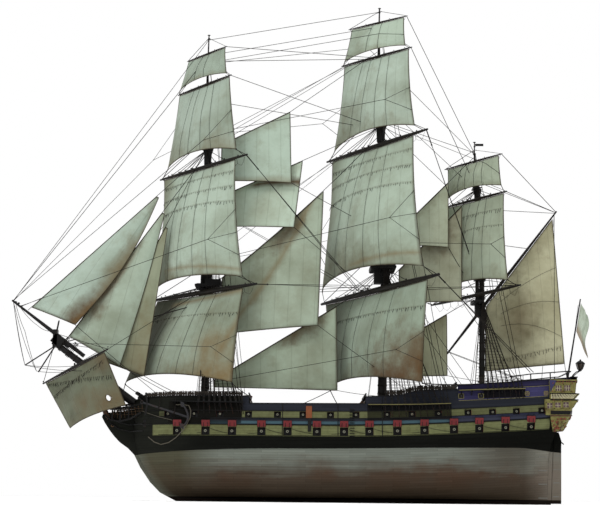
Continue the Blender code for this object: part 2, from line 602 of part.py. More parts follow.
def hinge_x(z):
    """x of the sternpost's aft face at a height, in millimetres."""
    return HINGE_FOOT[0] + (HINGE_HEAD[0] - HINGE_FOOT[0]) * (z - HINGE_FOOT[1]) / (HINGE_HEAD[1] - HINGE_FOOT[1])


def build_rudder(group, cutters):
    """The rudder blade, with a round leading edge on the hinge axis."""
    offset = RUDDER_RADIUS + GAP / MM
    front = [(hinge_x(z) + offset, z) for z in (RUDDER_LOW, RUDDER_HIGH)]
    blade = plate("rudder", front + RUDDER_BACK, 2 * RUDDER_RADIUS, "black_hull", group)
    ends = [(x, 0, z) for x, z in front]
    edge = turned("rudder_edge", [(0, RUDDER_RADIUS), (1, RUDDER_RADIUS)], *ends, 12, "black_hull", cutters)
    combine(blade, edge, "UNION")
    return blade


def build_stern(group, cutters):
    """Stern galleries: the transom's panel and a quarter gallery on each side."""
    rings = []
    turn_y, turn_z, turn_x = GALLERY_TURN
    for front_x, side_x, side_z, half, middle_x, middle_z in GALLERY_LINES:
        port = [(front_x, -half, side_z), (side_x, -half, side_z),
                (middle_x - turn_x, -half * turn_y, side_z + (middle_z - side_z) * turn_z),
                (middle_x, -half * GALLERY_FLAT, middle_z)]
        rings.append(port + [(x, -y, z) for x, y, z in reversed(port)])
    bm = bmesh.new()
    closed_loft(bm, rings)
    stern = from_bmesh("stern_gallery", bm, "ochre", group)
    combine(stern, block("taffrail", *TAFFRAIL, "ochre", cutters), "UNION")
    room = [z for z in HULL_LEVELS if z > WALE_TOP] + [HULL_LEVELS[-1] + 15]
    body = hull_loft("stern_room", room, -2 * GAP / MM, "ochre", cutters)
    combine(stern, body, "DIFFERENCE")
    combine(stern, block("rudder_trunk", *RUDDER_TRUNK, "ochre", cutters), "DIFFERENCE")
    return stern


def mast_axis(mast, z, section="lower"):
    """x of a mast section's axis at a height, in millimetres."""
    facts = MASTS[mast]
    lean = math.tan(math.radians(facts["rake"]))
    x = facts["x"] + lean * (z - facts["foot"])
    step = facts["lower"] * 0.78 + facts["topmast"] + 1.5
    second_step = facts["topmast"] * 0.75 + facts["pole"] + 1.2
    if section in ("topmast", "pole"):
        x -= step
    if section == "pole":
        x -= second_step
    return x


def mast_radius(mast, section, z):
    """Radius of a mast section at a height, in millimetres."""
    facts = MASTS[mast]
    spans = {"lower": (facts["foot"], facts["cap"], 1.0, 0.78),
             "topmast": (facts["top"], facts["topcap"], 1.0, 0.75),
             "pole": (facts["crosstrees"], facts["truck"], 1.0, 0.42)}
    low, high, wide, thin = spans[section]
    share = (z - low) / (high - low)
    return facts[section] * (wide + (thin - wide) * share)


def build_mast(mast, group, cutters):
    facts = MASTS[mast]
    finish = "spar"

    def point(z, section):
        return (mast_axis(mast, z, section), 0, z)

    def spar(name, section, low, high, into):
        profile = [(0, mast_radius(mast, section, low)), (1, mast_radius(mast, section, high))]
        return turned(name, profile, point(low, section), point(high, section), 12, finish, into)

    gap = GAP / MM
    heel_edge = facts["lower"] * math.sin(math.radians(facts["rake"]))
    lower = spar(f"{mast}_lower_mast", "lower", facts["foot"] + gap + heel_edge, facts["cap"], group)
    top_x = mast_axis(mast, facts["top"]) - 4
    reach = facts["lower"] * 3.0
    side = facts["lower"] * 3.6
    top = block(f"{mast}_top", (top_x - reach, -side, facts["top"] - 5),
                (top_x + reach * facts["aft"], side, facts["top"]), finish, cutters)
    combine(lower, top, "UNION")
    cap_x = mast_axis(mast, facts["cap"])
    cap_reach = facts["lower"] * 0.78 + 2 * facts["topmast"] + 5
    cap = block(f"{mast}_cap", (cap_x - cap_reach, -facts["topmast"] - 5, facts["cap"] - 8),
                (cap_x + facts["lower"] + 1, facts["topmast"] + 5, facts["cap"]), finish, cutters)
    combine(lower, cap, "UNION")
    heel = facts["top"] - 12
    hole_radius = facts["topmast"] + gap
    hole = turned(f"{mast}_cap_hole", [(0, hole_radius), (1, hole_radius)], point(heel - 8, "topmast"),
                  point(facts["cap"] + 20, "topmast"), 12, finish, cutters)
    combine(lower, hole, "DIFFERENCE")

    topmast = spar(f"{mast}_topmast", "topmast", heel, facts["topcap"], group)
    trees_x = mast_axis(mast, facts["crosstrees"], "topmast") - 2
    trees_reach = facts["topmast"] * 2.3
    trees = block(f"{mast}_crosstrees", (trees_x - trees_reach, -trees_reach * 1.5, facts["crosstrees"] - 3),
                  (trees_x + trees_reach * 0.6, trees_reach * 1.5, facts["crosstrees"]), finish, cutters)
    combine(topmast, trees, "UNION")
    topcap_x = mast_axis(mast, facts["topcap"], "topmast")
    topcap = block(f"{mast}_topcap", (topcap_x - facts["topmast"] - 2 * facts["pole"] - 3, -facts["pole"] - 3,
                                      facts["topcap"] - 5),
                   (topcap_x + facts["topmast"] + 0.5, facts["pole"] + 3, facts["topcap"]), finish, cutters)
    combine(topmast, topcap, "UNION")
    pole_radius = facts["pole"] + gap
    pole_hole = turned(f"{mast}_topcap_hole", [(0, pole_radius), (1, pole_radius)],
                       point(facts["crosstrees"] - 14, "pole"), point(facts["topcap"] + 10, "pole"), 12, finish, cutters)
    combine(topmast, pole_hole, "DIFFERENCE")
    spar(f"{mast}_topgallant_mast", "pole", facts["crosstrees"] - 8, facts["truck"], group)


def yard_facts(name):
    """Centre, direction towards the port arm and forward direction of a yard."""
    yard = YARDS[name]
    section = yard["on"]
    brace = math.radians(yard["brace"])
    ahead = Vector((-math.cos(brace), -math.sin(brace), 0))
    along = Vector((math.sin(brace), -math.cos(brace), 0))
    reach = mast_radius(yard["mast"], section, yard["z"]) + yard["radius"] + yard["parrel"] + GAP / MM
    centre = Vector((mast_axis(yard["mast"], yard["z"], section), 0, yard["z"])) + ahead * reach
    return centre, along, ahead


def yard_radius(name, share):
    """Radius of a yard at a share of its half length."""
    return YARDS[name]["radius"] * float(np.interp(abs(share), [0, 0.25, 0.5, 0.75, 1.0], [1, 0.98, 0.9, 0.72, 0.45]))


def build_yard(name, group, cutters):
    yard = YARDS[name]
    centre, along, ahead = yard_facts(name)
    half = yard["half"]
    shares = [-1, -0.75, -0.5, -0.25, 0.25, 0.5, 0.75, 1]
    profile = [((s + 1) / 2, yard_radius(name, s)) for s in shares]
    spar = turned(f"{name}_yard", profile, centre - along * half, centre + along * half, 10, "spar", group)
    depth = yard["parrel"] + yard["radius"] * 0.6
    turn = Matrix((ahead, along, Vector((0, 0, 1)))).transposed().to_4x4()
    block_size = Matrix.Diagonal((depth * MM, yard["radius"] * 2.2 * MM, yard["radius"] * 1.3 * MM, 1.0))
    middle = centre - ahead * (yard["radius"] * 0.4 + depth / 2)
    bm = bmesh.new()
    bmesh.ops.create_cube(bm, size=1.0)
    bmesh.ops.transform(bm, matrix=Matrix.Translation(middle * MM) @ turn @ block_size, verts=bm.verts)
    parrel = from_bmesh(f"{name}_parrel", bm, "spar", cutters)
    combine(spar, parrel, "UNION")


def sheet_of_sail(name, point, columns, rows, group, finish="sailcloth"):
    """A thin curved sheet from a function of two shares, both from 0 to 1."""
    verts = [Vector(point(i / columns, j / rows)) * MM for j in range(rows + 1) for i in range(columns + 1)]
    wide = columns + 1
    faces = [(j * wide + i, j * wide + i + 1, (j + 1) * wide + i + 1, (j + 1) * wide + i)
             for j in range(rows) for i in range(columns)]
    mesh = bpy.data.meshes.new(name)
    mesh.from_pydata(verts, [], faces)
    obj = new_object(name, mesh, finish, group)
    thick = obj.modifiers.new("cloth", "SOLIDIFY")
    thick.thickness = SAIL_THICKNESS
    thick.offset = 0.0
    return obj


def build_square_sail(name, facts, group):
    centre, along, ahead = yard_facts(facts["head"])
    half = YARDS[facts["head"]]["half"] * facts["spread"]
    if "foot" in facts:
        yard = YARDS[facts["foot"]]
        foot_centre, foot_along, foot_ahead = yard_facts(facts["foot"])
        foot_centre = foot_centre + Vector((0, 0, facts["lift"])) + foot_ahead * (yard["radius"] + 1)
        starboard = foot_centre - foot_along * (yard["half"] * facts["clew"][0])
        port = foot_centre + foot_along * (yard["half"] * facts["clew"][1])
    else:
        starboard, port = [Vector(clew) for clew in facts["clews"]]

    def point(u, v):
        side = 2 * u - 1
        share = side * facts["spread"]
        head = centre + along * (side * half)
        head.z -= yard_radius(facts["head"], share) + GAP / MM
        foot = starboard.lerp(port, u)
        foot.z += facts["arch"] * (1 - side * side)
        across = (1 - side * side) ** 0.75
        down = math.sin(math.pi * 0.6 * v) ** 0.9 if v > 0 else 0.0
        inward = along * (side * abs(side) ** 3 * facts["hollow"] * 4 * v * (1 - v))
        return head.lerp(foot, v) + ahead * (facts["belly"] * across * down) - inward

    return sheet_of_sail(name, point, 8, 8, group)


def stay_z(name, x):
    """Height of a stay at x."""
    facts = STAYS[name]
    first, last = facts["corners"][0][0], facts["corners"][-1][0]
    share = (x - first) / (last - first)
    straight = float(np.interp(x, [c[0] for c in facts["corners"]], [c[1] for c in facts["corners"]]))
    return straight - 4 * facts["sag"] * share * (1 - share)


def luff_point(name, x):
    """A sail's edge on its stay: just clear of a standing one, within the rope of a flying one."""
    facts = STAYS[name]
    run = Vector((2, stay_z(name, x + 1) - stay_z(name, x - 1))).normalized()
    drop = 0.0 if facts["flying"] else STAY_RADIUS + LUFF_SPACE
    return Vector((x + run.y * drop, facts["y"], stay_z(name, x) - run.x * drop))


def rope(name, line, finish, group):
    """A round rope along points of one plane that runs along the ship."""
    bm = bmesh.new()
    rings = []
    for i, spot in enumerate(line):
        run = (line[min(i + 1, len(line) - 1)] - line[max(i - 1, 0)]).normalized()
        side = Vector((run.z, 0, -run.x))
        turns = [2 * math.pi * k / STAY_SIDES for k in range(STAY_SIDES)]
        offsets = [side * math.cos(a) + Vector((0, math.sin(a), 0)) for a in turns]
        rings.append([bm.verts.new((spot + offset * STAY_RADIUS) * MM) for offset in offsets])
    for ring, following in zip(rings, rings[1:]):
        for k in range(STAY_SIDES):
            j = (k + 1) % STAY_SIDES
            bm.faces.new((ring[k], ring[j], following[j], following[k]))
    bm.faces.new(rings[0])
    bm.faces.new(rings[-1])
    return from_bmesh(name, bm, finish, group)


def hang(sail, stay, group, cutters):
    """Makes the stay that a sail hangs on, and joins the two when it is a flying one."""
    facts = STAYS[stay]
    xs = [corner[0] for corner in facts["corners"]]
    if facts["sag"]:
        xs = [xs[0] + (xs[-1] - xs[0]) * i / STAY_PARTS for i in range(STAY_PARTS + 1)]
    line = [Vector((x, facts["y"], stay_z(stay, x))) for x in xs]
    if facts["flying"]:
        combine(sail, rope(stay, line, "sailcloth", cutters), "UNION")
    else:
        rope(stay, line, "rope", group)


def build_headsail(name, facts, group):
    """A triangular sail: its luff on the stay, its leech from the clew to the head."""
    first, last = facts["luff"]
    clew = Vector(facts["clew"])
    peak = luff_point(facts["stay"], last) + Vector((5, 0, -3))

    def point(u, v):
        luff = luff_point(facts["stay"], first + (last - first) * v)
        leech = clew.lerp(peak, v)
        spot = luff.lerp(leech, u)
        spot.y -= facts["belly"] * math.sin(math.pi * u) * math.sin(math.pi * (0.2 + 0.8 * v))
        return spot

    return sheet_of_sail(name, point, 6, 7, group)


def build_staysail(name, facts, group):
    """A four-sided sail: its luff along the stay, its foot from the tack to the clew."""
    first, last = facts["luff"]
    tack = Vector(facts["tack"])
    clew = Vector(facts["clew"])

    def point(u, v):
        foot = tack.lerp(clew, u)
        head = luff_point(facts["stay"], first + (last - first) * u)
        spot = foot.lerp(head, v)
        spot.y -= facts["belly"] * math.sin(math.pi * u) * math.sin(math.pi * (0.3 + 0.7 * v))
        return spot

    return sheet_of_sail(name, point, 7, 5, group)


def build_lateen(group):
    """The mizzen's long slanted yard and the sail that hangs from its after part."""
    low = Vector(LATEEN_LOW)
    high = Vector(LATEEN_HIGH)
    turned("mizzen_lateen_yard", LATEEN_PROFILE, low, high, 10, "spar", group)
    span = high - low
    along = span.normalized()
    down = Vector((along.z, 0, -along.x))

    def under_yard(x):
        share = (x - low.x) / span.x
        radius = float(np.interp(share, [p[0] for p in LATEEN_PROFILE], [p[1] for p in LATEEN_PROFILE]))
        return low + span * share + down * (radius + GAP / MM)

    tack = Vector(LATEEN_TACK)
    clew = Vector(LATEEN_CLEW)

    def point(u, v):
        foot = tack.lerp(clew, u)
        head = under_yard(LATEEN_THROAT_X + (LATEEN_PEAK_X - LATEEN_THROAT_X) * u)
        spot = foot.lerp(head, v)
        spot.y -= LATEEN_BELLY * math.sin(math.pi * u) * math.sin(math.pi * (0.15 + 0.85 * v))
        return spot

    sheet_of_sail("mizzen_lateen_sail", point, 7, 8, group)


def build_bowsprit(group, cutters):
    heel = Vector(BOWSPRIT_HEEL)
    end = Vector(BOWSPRIT_END)
    bowsprit = turned("bowsprit", BOWSPRIT_PROFILE, heel, end, 12, "spar", group)
    cap = block("bowsprit_cap", BOWSPRIT_CAP_LOW, BOWSPRIT_CAP_HIGH, "spar", cutters)
    combine(bowsprit, cap, "UNION")
    for n, foot in enumerate(STRIKERS):
        pole = turned(f"striker_{n}", [(0, STRIKER_RADIUS), (1, STRIKER_RADIUS)], STRIKER_TOP, foot, STRIKER_SIDES,
                      "spar", cutters)
        combine(bowsprit, pole, "UNION")
    bore = JIBBOOM_RADIUS + GAP / MM
    hole = turned("bowsprit_cap_hole", [(0, bore), (1, bore)], JIBBOOM_HEEL, JIBBOOM_END, 12, "spar", cutters)
    combine(bowsprit, hole, "DIFFERENCE")
    turned("jibboom", JIBBOOM_PROFILE, JIBBOOM_HEEL, JIBBOOM_END, 10, "spar", group)


def build_spritsail(group, cutters):
    """The yard slung under the bowsprit, with the square sail that hangs from it."""
    near = Vector(SPRIT_YARD_NEAR)
    far = Vector(SPRIT_YARD_FAR)
    yard = turned("spritsail_yard", SPRIT_YARD_PROFILE, far, near, 10, "spar", group)
    middle = near.lerp(far, 0.5)
    sling = turned("spritsail_sling", [(0, SPRIT_SLING_RADIUS), (1, SPRIT_SLING_RADIUS)], middle,
                   middle + Vector((0, 0, SPRIT_SLING_HEIGHT)), 8, "spar", cutters)
    combine(yard, sling, "UNION")
    foot_near = Vector(SPRITSAIL_FOOT_NEAR)
    foot_far = Vector(SPRITSAIL_FOOT_FAR)
    ahead = Vector(SPRITSAIL_AHEAD)
    rise = (near - far).normalized().z

    def point(u, v):
        side = 2 * u - 1
        share = (1 + SPRITSAIL_SPREAD * side) / 2
        radius = float(np.interp(share, [p[0] for p in SPRIT_YARD_PROFILE], [p[1] for p in SPRIT_YARD_PROFILE]))
        head = far.lerp(near, share)
        head.z -= (radius + GAP / MM) / math.sqrt(1 - rise * rise)
        foot = foot_far.lerp(foot_near, u)
        foot.z += SPRITSAIL_ARCH * (1 - side * side)
        return head.lerp(foot, v) + ahead * (SPRITSAIL_BELLY * (1 - side * side) * math.sin(math.pi * 0.6 * v))

    sheet_of_sail("spritsail", point, 8, 6, group)


def build_ensign(group):
    """The flagstaff on the taffrail and the flag that hangs limp from it."""
    foot = Vector((STAFF_FOOT[0], 0, STAFF_FOOT[1]))
    head = Vector((STAFF_HEAD[0], 0, STAFF_HEAD[1]))
    turned("flagstaff", STAFF_PROFILE, foot, head, 8, "spar", group)
    hoist_top, hoist_low = [foot.lerp(head, share) for share in ENSIGN_HOIST]
    fly_top = Vector(ENSIGN_FLY_TOP)
    fly_low = Vector(ENSIGN_FLY_LOW)

    def point(u, v):
        edge = hoist_top.lerp(hoist_low, v) + Vector((STAFF_PROFILE[0][1], 0, 0))
        spot = edge.lerp(fly_top.lerp(fly_low, v), u)
        spot.y += ENSIGN_WAVE * math.sin(3 * math.pi * u) * u
        return spot

    sheet_of_sail("ensign", point, 6, 6, group, "flag")


def main():
    clear_scene()
    group = new_collection("sailing_ship_model")
    cutters = new_collection("cutters")
    build_hull(group, cutters)
    build_keel(group)
    build_rudder(group, cutters)
    build_stern(group, cutters)
    build_head(group, cutters)
    build_poop_rail(group, cutters)
    build_lantern(group, cutters)
    for mast in MASTS:
        build_mast(mast, group, cutters)
    for yard in YARDS:
        build_yard(yard, group, cutters)
    for name, facts in {**SQUARE_SAILS, **COURSES}.items():
        build_square_sail(name, facts, group)
    for name, facts in HEADSAILS.items():
        hang(build_headsail(name, facts, group), facts["stay"], group, cutters)
    for name, facts in STAYSAILS.items():
        hang(build_staysail(name, facts, group), facts["stay"], group, cutters)
    build_lateen(group)
    build_bowsprit(group, cutters)
    build_spritsail(group, cutters)
    build_ensign(group)


main()
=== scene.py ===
import math
import random

import bpy
import numpy as np
from mathutils import Matrix, Vector


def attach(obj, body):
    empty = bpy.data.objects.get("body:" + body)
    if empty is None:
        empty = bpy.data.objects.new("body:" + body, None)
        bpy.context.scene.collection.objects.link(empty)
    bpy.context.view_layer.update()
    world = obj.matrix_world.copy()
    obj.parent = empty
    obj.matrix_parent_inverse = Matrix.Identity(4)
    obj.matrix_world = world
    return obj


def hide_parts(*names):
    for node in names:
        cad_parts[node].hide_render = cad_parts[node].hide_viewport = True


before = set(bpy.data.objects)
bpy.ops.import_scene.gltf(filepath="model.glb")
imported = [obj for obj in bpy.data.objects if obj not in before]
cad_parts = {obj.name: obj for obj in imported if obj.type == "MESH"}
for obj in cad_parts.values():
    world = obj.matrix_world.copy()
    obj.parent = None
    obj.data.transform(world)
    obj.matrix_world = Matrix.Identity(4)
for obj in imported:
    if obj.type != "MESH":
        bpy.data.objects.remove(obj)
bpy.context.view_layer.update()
mm = 0.001
rng = random.Random(74)

# The camera stands at floor level and looks up at the port side.
camera = {"place": (-0.18199685, -3.66252481, 0.012), "pitch": 10.3465727, "roll": 0.5813524, "lens": 78.0}
pitch, roll = math.radians(camera["pitch"]), math.radians(camera["roll"])
forward = Vector((0, math.cos(pitch), math.sin(pitch)))
level = Vector((0, -math.sin(pitch), math.cos(pitch)))
sideways = Vector((math.cos(roll), 0, 0)) + level * math.sin(roll)
upwards = level * math.cos(roll) - Vector((math.sin(roll), 0, 0))
eye = bpy.data.objects.new("eye", bpy.data.cameras.new("eye"))
bpy.context.scene.collection.objects.link(eye)
eye.data.lens = camera["lens"]
eye.data.sensor_width = 36.0
eye.matrix_world = Matrix.Translation(camera["place"]) @ Matrix((sideways, upwards, -forward)).transposed().to_4x4()
bpy.context.scene.camera = eye


# One colour from the eight-bit values that a picture program shows.
def tone(red, green, blue):
    return tuple((c / 255 / 12.92 if c / 255 <= 0.04045 else ((c / 255 + 0.055) / 1.055) ** 2.4) for c in (red, green, blue)) + (1.0,)


# A node's output that can stand in a sum like a number.
class Wire:
    def __init__(self, paint, socket):
        self.paint, self.socket = paint, socket

    def sum(self, operation, first, second):
        return self.paint.add("ShaderNodeMath", {"operation": operation}, [first, second])

    def __add__(self, other):
        return self.sum("ADD", self, other)

    def __radd__(self, other):
        return self.sum("ADD", other, self)

    def __sub__(self, other):
        return self.sum("SUBTRACT", self, other)

    def __rsub__(self, other):
        return self.sum("SUBTRACT", other, self)

    def __mul__(self, other):
        return self.sum("MULTIPLY", self, other)

    def __rmul__(self, other):
        return self.sum("MULTIPLY", other, self)

    def __truediv__(self, other):
        return self.sum("DIVIDE", self, other)

    def __rtruediv__(self, other):
        return self.sum("DIVIDE", other, self)

    def __pow__(self, other):
        return self.sum("POWER", self, other)

    def __gt__(self, other):
        return self.sum("GREATER_THAN", self, other)

    def __lt__(self, other):
        return self.sum("LESS_THAN", self, other)

    def clip(self):
        return self.paint.add("ShaderNodeClamp", {}, [self, 0.0, 1.0])

    def atLeast(self, other):
        return self.sum("MAXIMUM", self, other)

    def atMost(self, other):
        return self.sum("MINIMUM", self, other)

    def part(self):
        return self.paint.add("ShaderNodeMath", {"operation": "FRACT"}, [self])

    def size(self):
        return self.paint.add("ShaderNodeMath", {"operation": "ABSOLUTE"}, [self])


# A material under construction, with its shader.
class Paint:
    def __init__(self, name, roughness=0.6, metallic=0.0, coat=0.0, sheen=0.0, shine=0.12):
        self.made = bpy.data.materials.new(name)
        self.made.use_nodes = True
        self.tree = self.made.node_tree
        self.shader = self.tree.nodes["Principled BSDF"]
        self.shader.inputs["Roughness"].default_value = roughness
        self.shader.inputs["Metallic"].default_value = metallic
        self.shader.inputs["Coat Weight"].default_value = coat
        self.shader.inputs["Sheen Weight"].default_value = sheen
        self.shader.inputs["Specular IOR Level"].default_value = shine

    def add(self, kind, settings=None, sockets=(), out=0):
        node = self.tree.nodes.new(kind)
        for key, value in (settings or {}).items():
            if key == "stops":
                while len(node.color_ramp.elements) < len(value):
                    node.color_ramp.elements.new(1.0)
                for stop, (place, colour) in zip(node.color_ramp.elements, value):
                    stop.position, stop.color = place, colour
            else:
                setattr(node, key, value)
        pairs = sockets.items() if isinstance(sockets, dict) else enumerate(sockets)
        for key, value in pairs:
            if isinstance(value, Wire):
                self.tree.links.new(value.socket, node.inputs[key])
            elif value is not None:
                node.inputs[key].default_value = value
        return Wire(self, node.outputs[out])

    def place(self):
        return self.add("ShaderNodeTexCoord", out="Object")

    def axes(self, vector, scale=1000.0):
        return [self.add("ShaderNodeSeparateXYZ", {}, [vector], i) * scale for i in range(3)]

    def vector(self, x, y, z):
        return self.add("ShaderNodeCombineXYZ", {}, [x, y, z])

    def noise(self, vector, scale, detail=3.0, rough=0.55):
        return self.add("ShaderNodeTexNoise", {}, {"Vector": vector, "Scale": scale, "Detail": detail, "Roughness": rough})

    def mix(self, share, under, over, blend="MIX"):
        return self.add("ShaderNodeMix", {"data_type": "RGBA", "blend_type": blend}, {0: share, 6: under, 7: over}, 2)

    def feed(self, colour=None, roughness=None, bump=None, strength=0.4, depth=0.0004, metallic=None):
        if colour is not None:
            self.tree.links.new(colour.socket, self.shader.inputs["Base Color"])
        if roughness is not None:
            self.tree.links.new(roughness.socket, self.shader.inputs["Roughness"])
        if metallic is not None:
            self.tree.links.new(metallic.socket, self.shader.inputs["Metallic"])
        if bump is not None:
            raised = self.add("ShaderNodeBump", {}, {"Strength": strength, "Distance": depth, "Height": bump})
            self.tree.links.new(raised.socket, self.shader.inputs["Normal"])
        return self.made


# Collects points and faces in millimetres and turns them into one piece.
class Shape:
    def __init__(self):
        self.points, self.faces, self.slots, self.smooth = [], [], [], []

    def add(self, points, faces, slot=0, smooth=False):
        base = len(self.points)
        self.points += [tuple(p) for p in points]
        self.faces += [tuple(base + i for i in f) for f in faces]
        self.slots += [slot] * len(faces)
        self.smooth += [smooth] * len(faces)

    def tube(self, line, radius, sides=6, slot=0, flat=1.0, up=None):
        line = [Vector(p) for p in line]
        radii = radius if hasattr(radius, "__len__") else [radius] * len(line)
        side = None
        rings = []
        for i, spot in enumerate(line):
            run = (line[min(i + 1, len(line) - 1)] - line[max(i - 1, 0)]).normalized()
            if side is None:
                guess = Vector(up) if up else (Vector((0, 0, 1)) if abs(run.z) < 0.9 else Vector((0, 1, 0)))
                side = run.cross(guess).normalized()
            side = (side - run * side.dot(run)).normalized()
            other = run.cross(side)
            for k in range(sides):
                turn = 2 * math.pi * (k + 0.5) / sides
                rings.append(spot + side * (math.cos(turn) * radii[i]) + other * (math.sin(turn) * radii[i] * flat))
        faces = [(i * sides + k, i * sides + (k + 1) % sides, (i + 1) * sides + (k + 1) % sides, (i + 1) * sides + k)
                 for i in range(len(line) - 1) for k in range(sides)]
        last = (len(line) - 1) * sides
        faces += [tuple(range(sides))[::-1], tuple(last + k for k in range(sides))]
        self.add(rings, faces, slot, smooth=sides > 5)

    # A bar of rectangular section: half width sideways, half height along up.
    def bar(self, line, width, height, slot=0, up=(0, 0, 1)):
        line = [Vector(p) for p in line]
        points = []
        for i, spot in enumerate(line):
            run = (line[min(i + 1, len(line) - 1)] - line[max(i - 1, 0)]).normalized()
            side = run.cross(Vector(up)).normalized()
            rise = side.cross(run)
            points += [spot + side * a * width / 2 + rise * b * height / 2 for a, b in ((-1, -1), (1, -1), (1, 1), (-1, 1))]
        faces = [(i * 4 + k, i * 4 + (k + 1) % 4, i * 4 + 4 + (k + 1) % 4, i * 4 + 4 + k)
                 for i in range(len(line) - 1) for k in range(4)]
        last = (len(line) - 1) * 4
        faces += [(3, 2, 1, 0), (last, last + 1, last + 2, last + 3)]
        self.add(points, faces, slot)

    def box(self, middle, size, slot=0, turn=None):
        middle = Vector(middle)
        axes = turn or (Vector((1, 0, 0)), Vector((0, 1, 0)), Vector((0, 0, 1)))
        points = [middle + axes[0] * a * size[0] / 2 + axes[1] * b * size[1] / 2 + axes[2] * c * size[2] / 2
                  for c in (-1, 1) for a, b in ((-1, -1), (1, -1), (1, 1), (-1, 1))]
        self.add(points, [(3, 2, 1, 0), (4, 5, 6, 7)] + [(k, (k + 1) % 4, 4 + (k + 1) % 4, 4 + k) for k in range(4)], slot)

    # A turned form round a line: profile holds (share along, radius).
    def turned(self, start, end, profile, sides=12, slot=0):
        start, end = Vector(start), Vector(end)
        self.tube([start.lerp(end, share) for share, radius in profile], [radius for share, radius in profile], sides, slot)

    def ball(self, middle, radius, slot=0, sides=8):
        middle = Vector(middle)
        shares = [math.pi * (i + 0.5) / 6 for i in range(6)]
        self.tube([middle - Vector((0, 0, math.cos(a) * radius)) for a in shares], [math.sin(a) * radius for a in shares], sides, slot)

    # Rings of equal length joined in order; closed rings go round.
    def loft(self, rings, slot=0, closed=True, smooth=True, caps=False):
        count = len(rings[0])
        points = [p for ring in rings for p in ring]
        span = count if closed else count - 1
        faces = [(i * count + k, i * count + (k + 1) % count, (i + 1) * count + (k + 1) % count, (i + 1) * count + k)
                 for i in range(len(rings) - 1) for k in range(span)]
        if caps:
            faces += [tuple(range(count))[::-1], tuple((len(rings) - 1) * count + k for k in range(count))]
        self.add(points, faces, slot, smooth)

    def make(self, name, finishes, body="ship", sharp=35):
        mesh = bpy.data.meshes.new(name)
        mesh.from_pydata([tuple(c * mm for c in p) for p in self.points], [], self.faces)
        for finish in finishes:
            mesh.materials.append(finish)
        mesh.polygons.foreach_set("material_index", self.slots)
        mesh.polygons.foreach_set("use_smooth", self.smooth)
        mesh.update()
        if any(self.smooth):
            mesh.set_sharp_from_angle(angle=math.radians(sharp))
        piece = bpy.data.objects.new(name, mesh)
        bpy.context.scene.collection.objects.link(piece)
        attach(piece, body)
        return piece


# Height of the painted bands: they rise towards the stern.
def sheerOf(x):
    return 28 * max(0.0, (x + 120) / 624) ** 1.8


def waterLineOf(x):
    fore = max(0.0, (-177 - x) / 446)
    aft = max(0.0, min(1.1, (x + 177) / 540))
    return 142 - 17 * fore ** 2 + 9 * aft ** 1.2 - 0.09 * max(0.0, x - 440)


def plainPaint(name, colour, worn, roughness=0.5, grain=60.0, strength=0.3, coat=0.0, wear=0.45):
    paint = Paint(name, roughness, coat=coat)
    place = paint.place()
    cloud = paint.noise(place, grain, 4.0, 0.6)
    fine = paint.noise(place, grain * 8, 2.0, 0.6)
    share = ((cloud - 0.45) * 3.0).clip() * wear
    shade = paint.mix(share, tone(*colour), tone(*worn))
    return paint.feed(shade, roughness + (cloud - 0.5) * 0.3, cloud + fine * 0.5, strength, 0.0005)


hullColours = {"bottom": (106, 111, 103), "shadeAndStain": (66, 54, 44), "deep": (56, 48, 38), "black": (16, 17, 15),
               "ochre": (106, 110, 76), "blue": (60, 80, 88), "grey": (36, 38, 44), "violet": (56, 54, 86),
               "violetGrey": (50, 52, 64)}
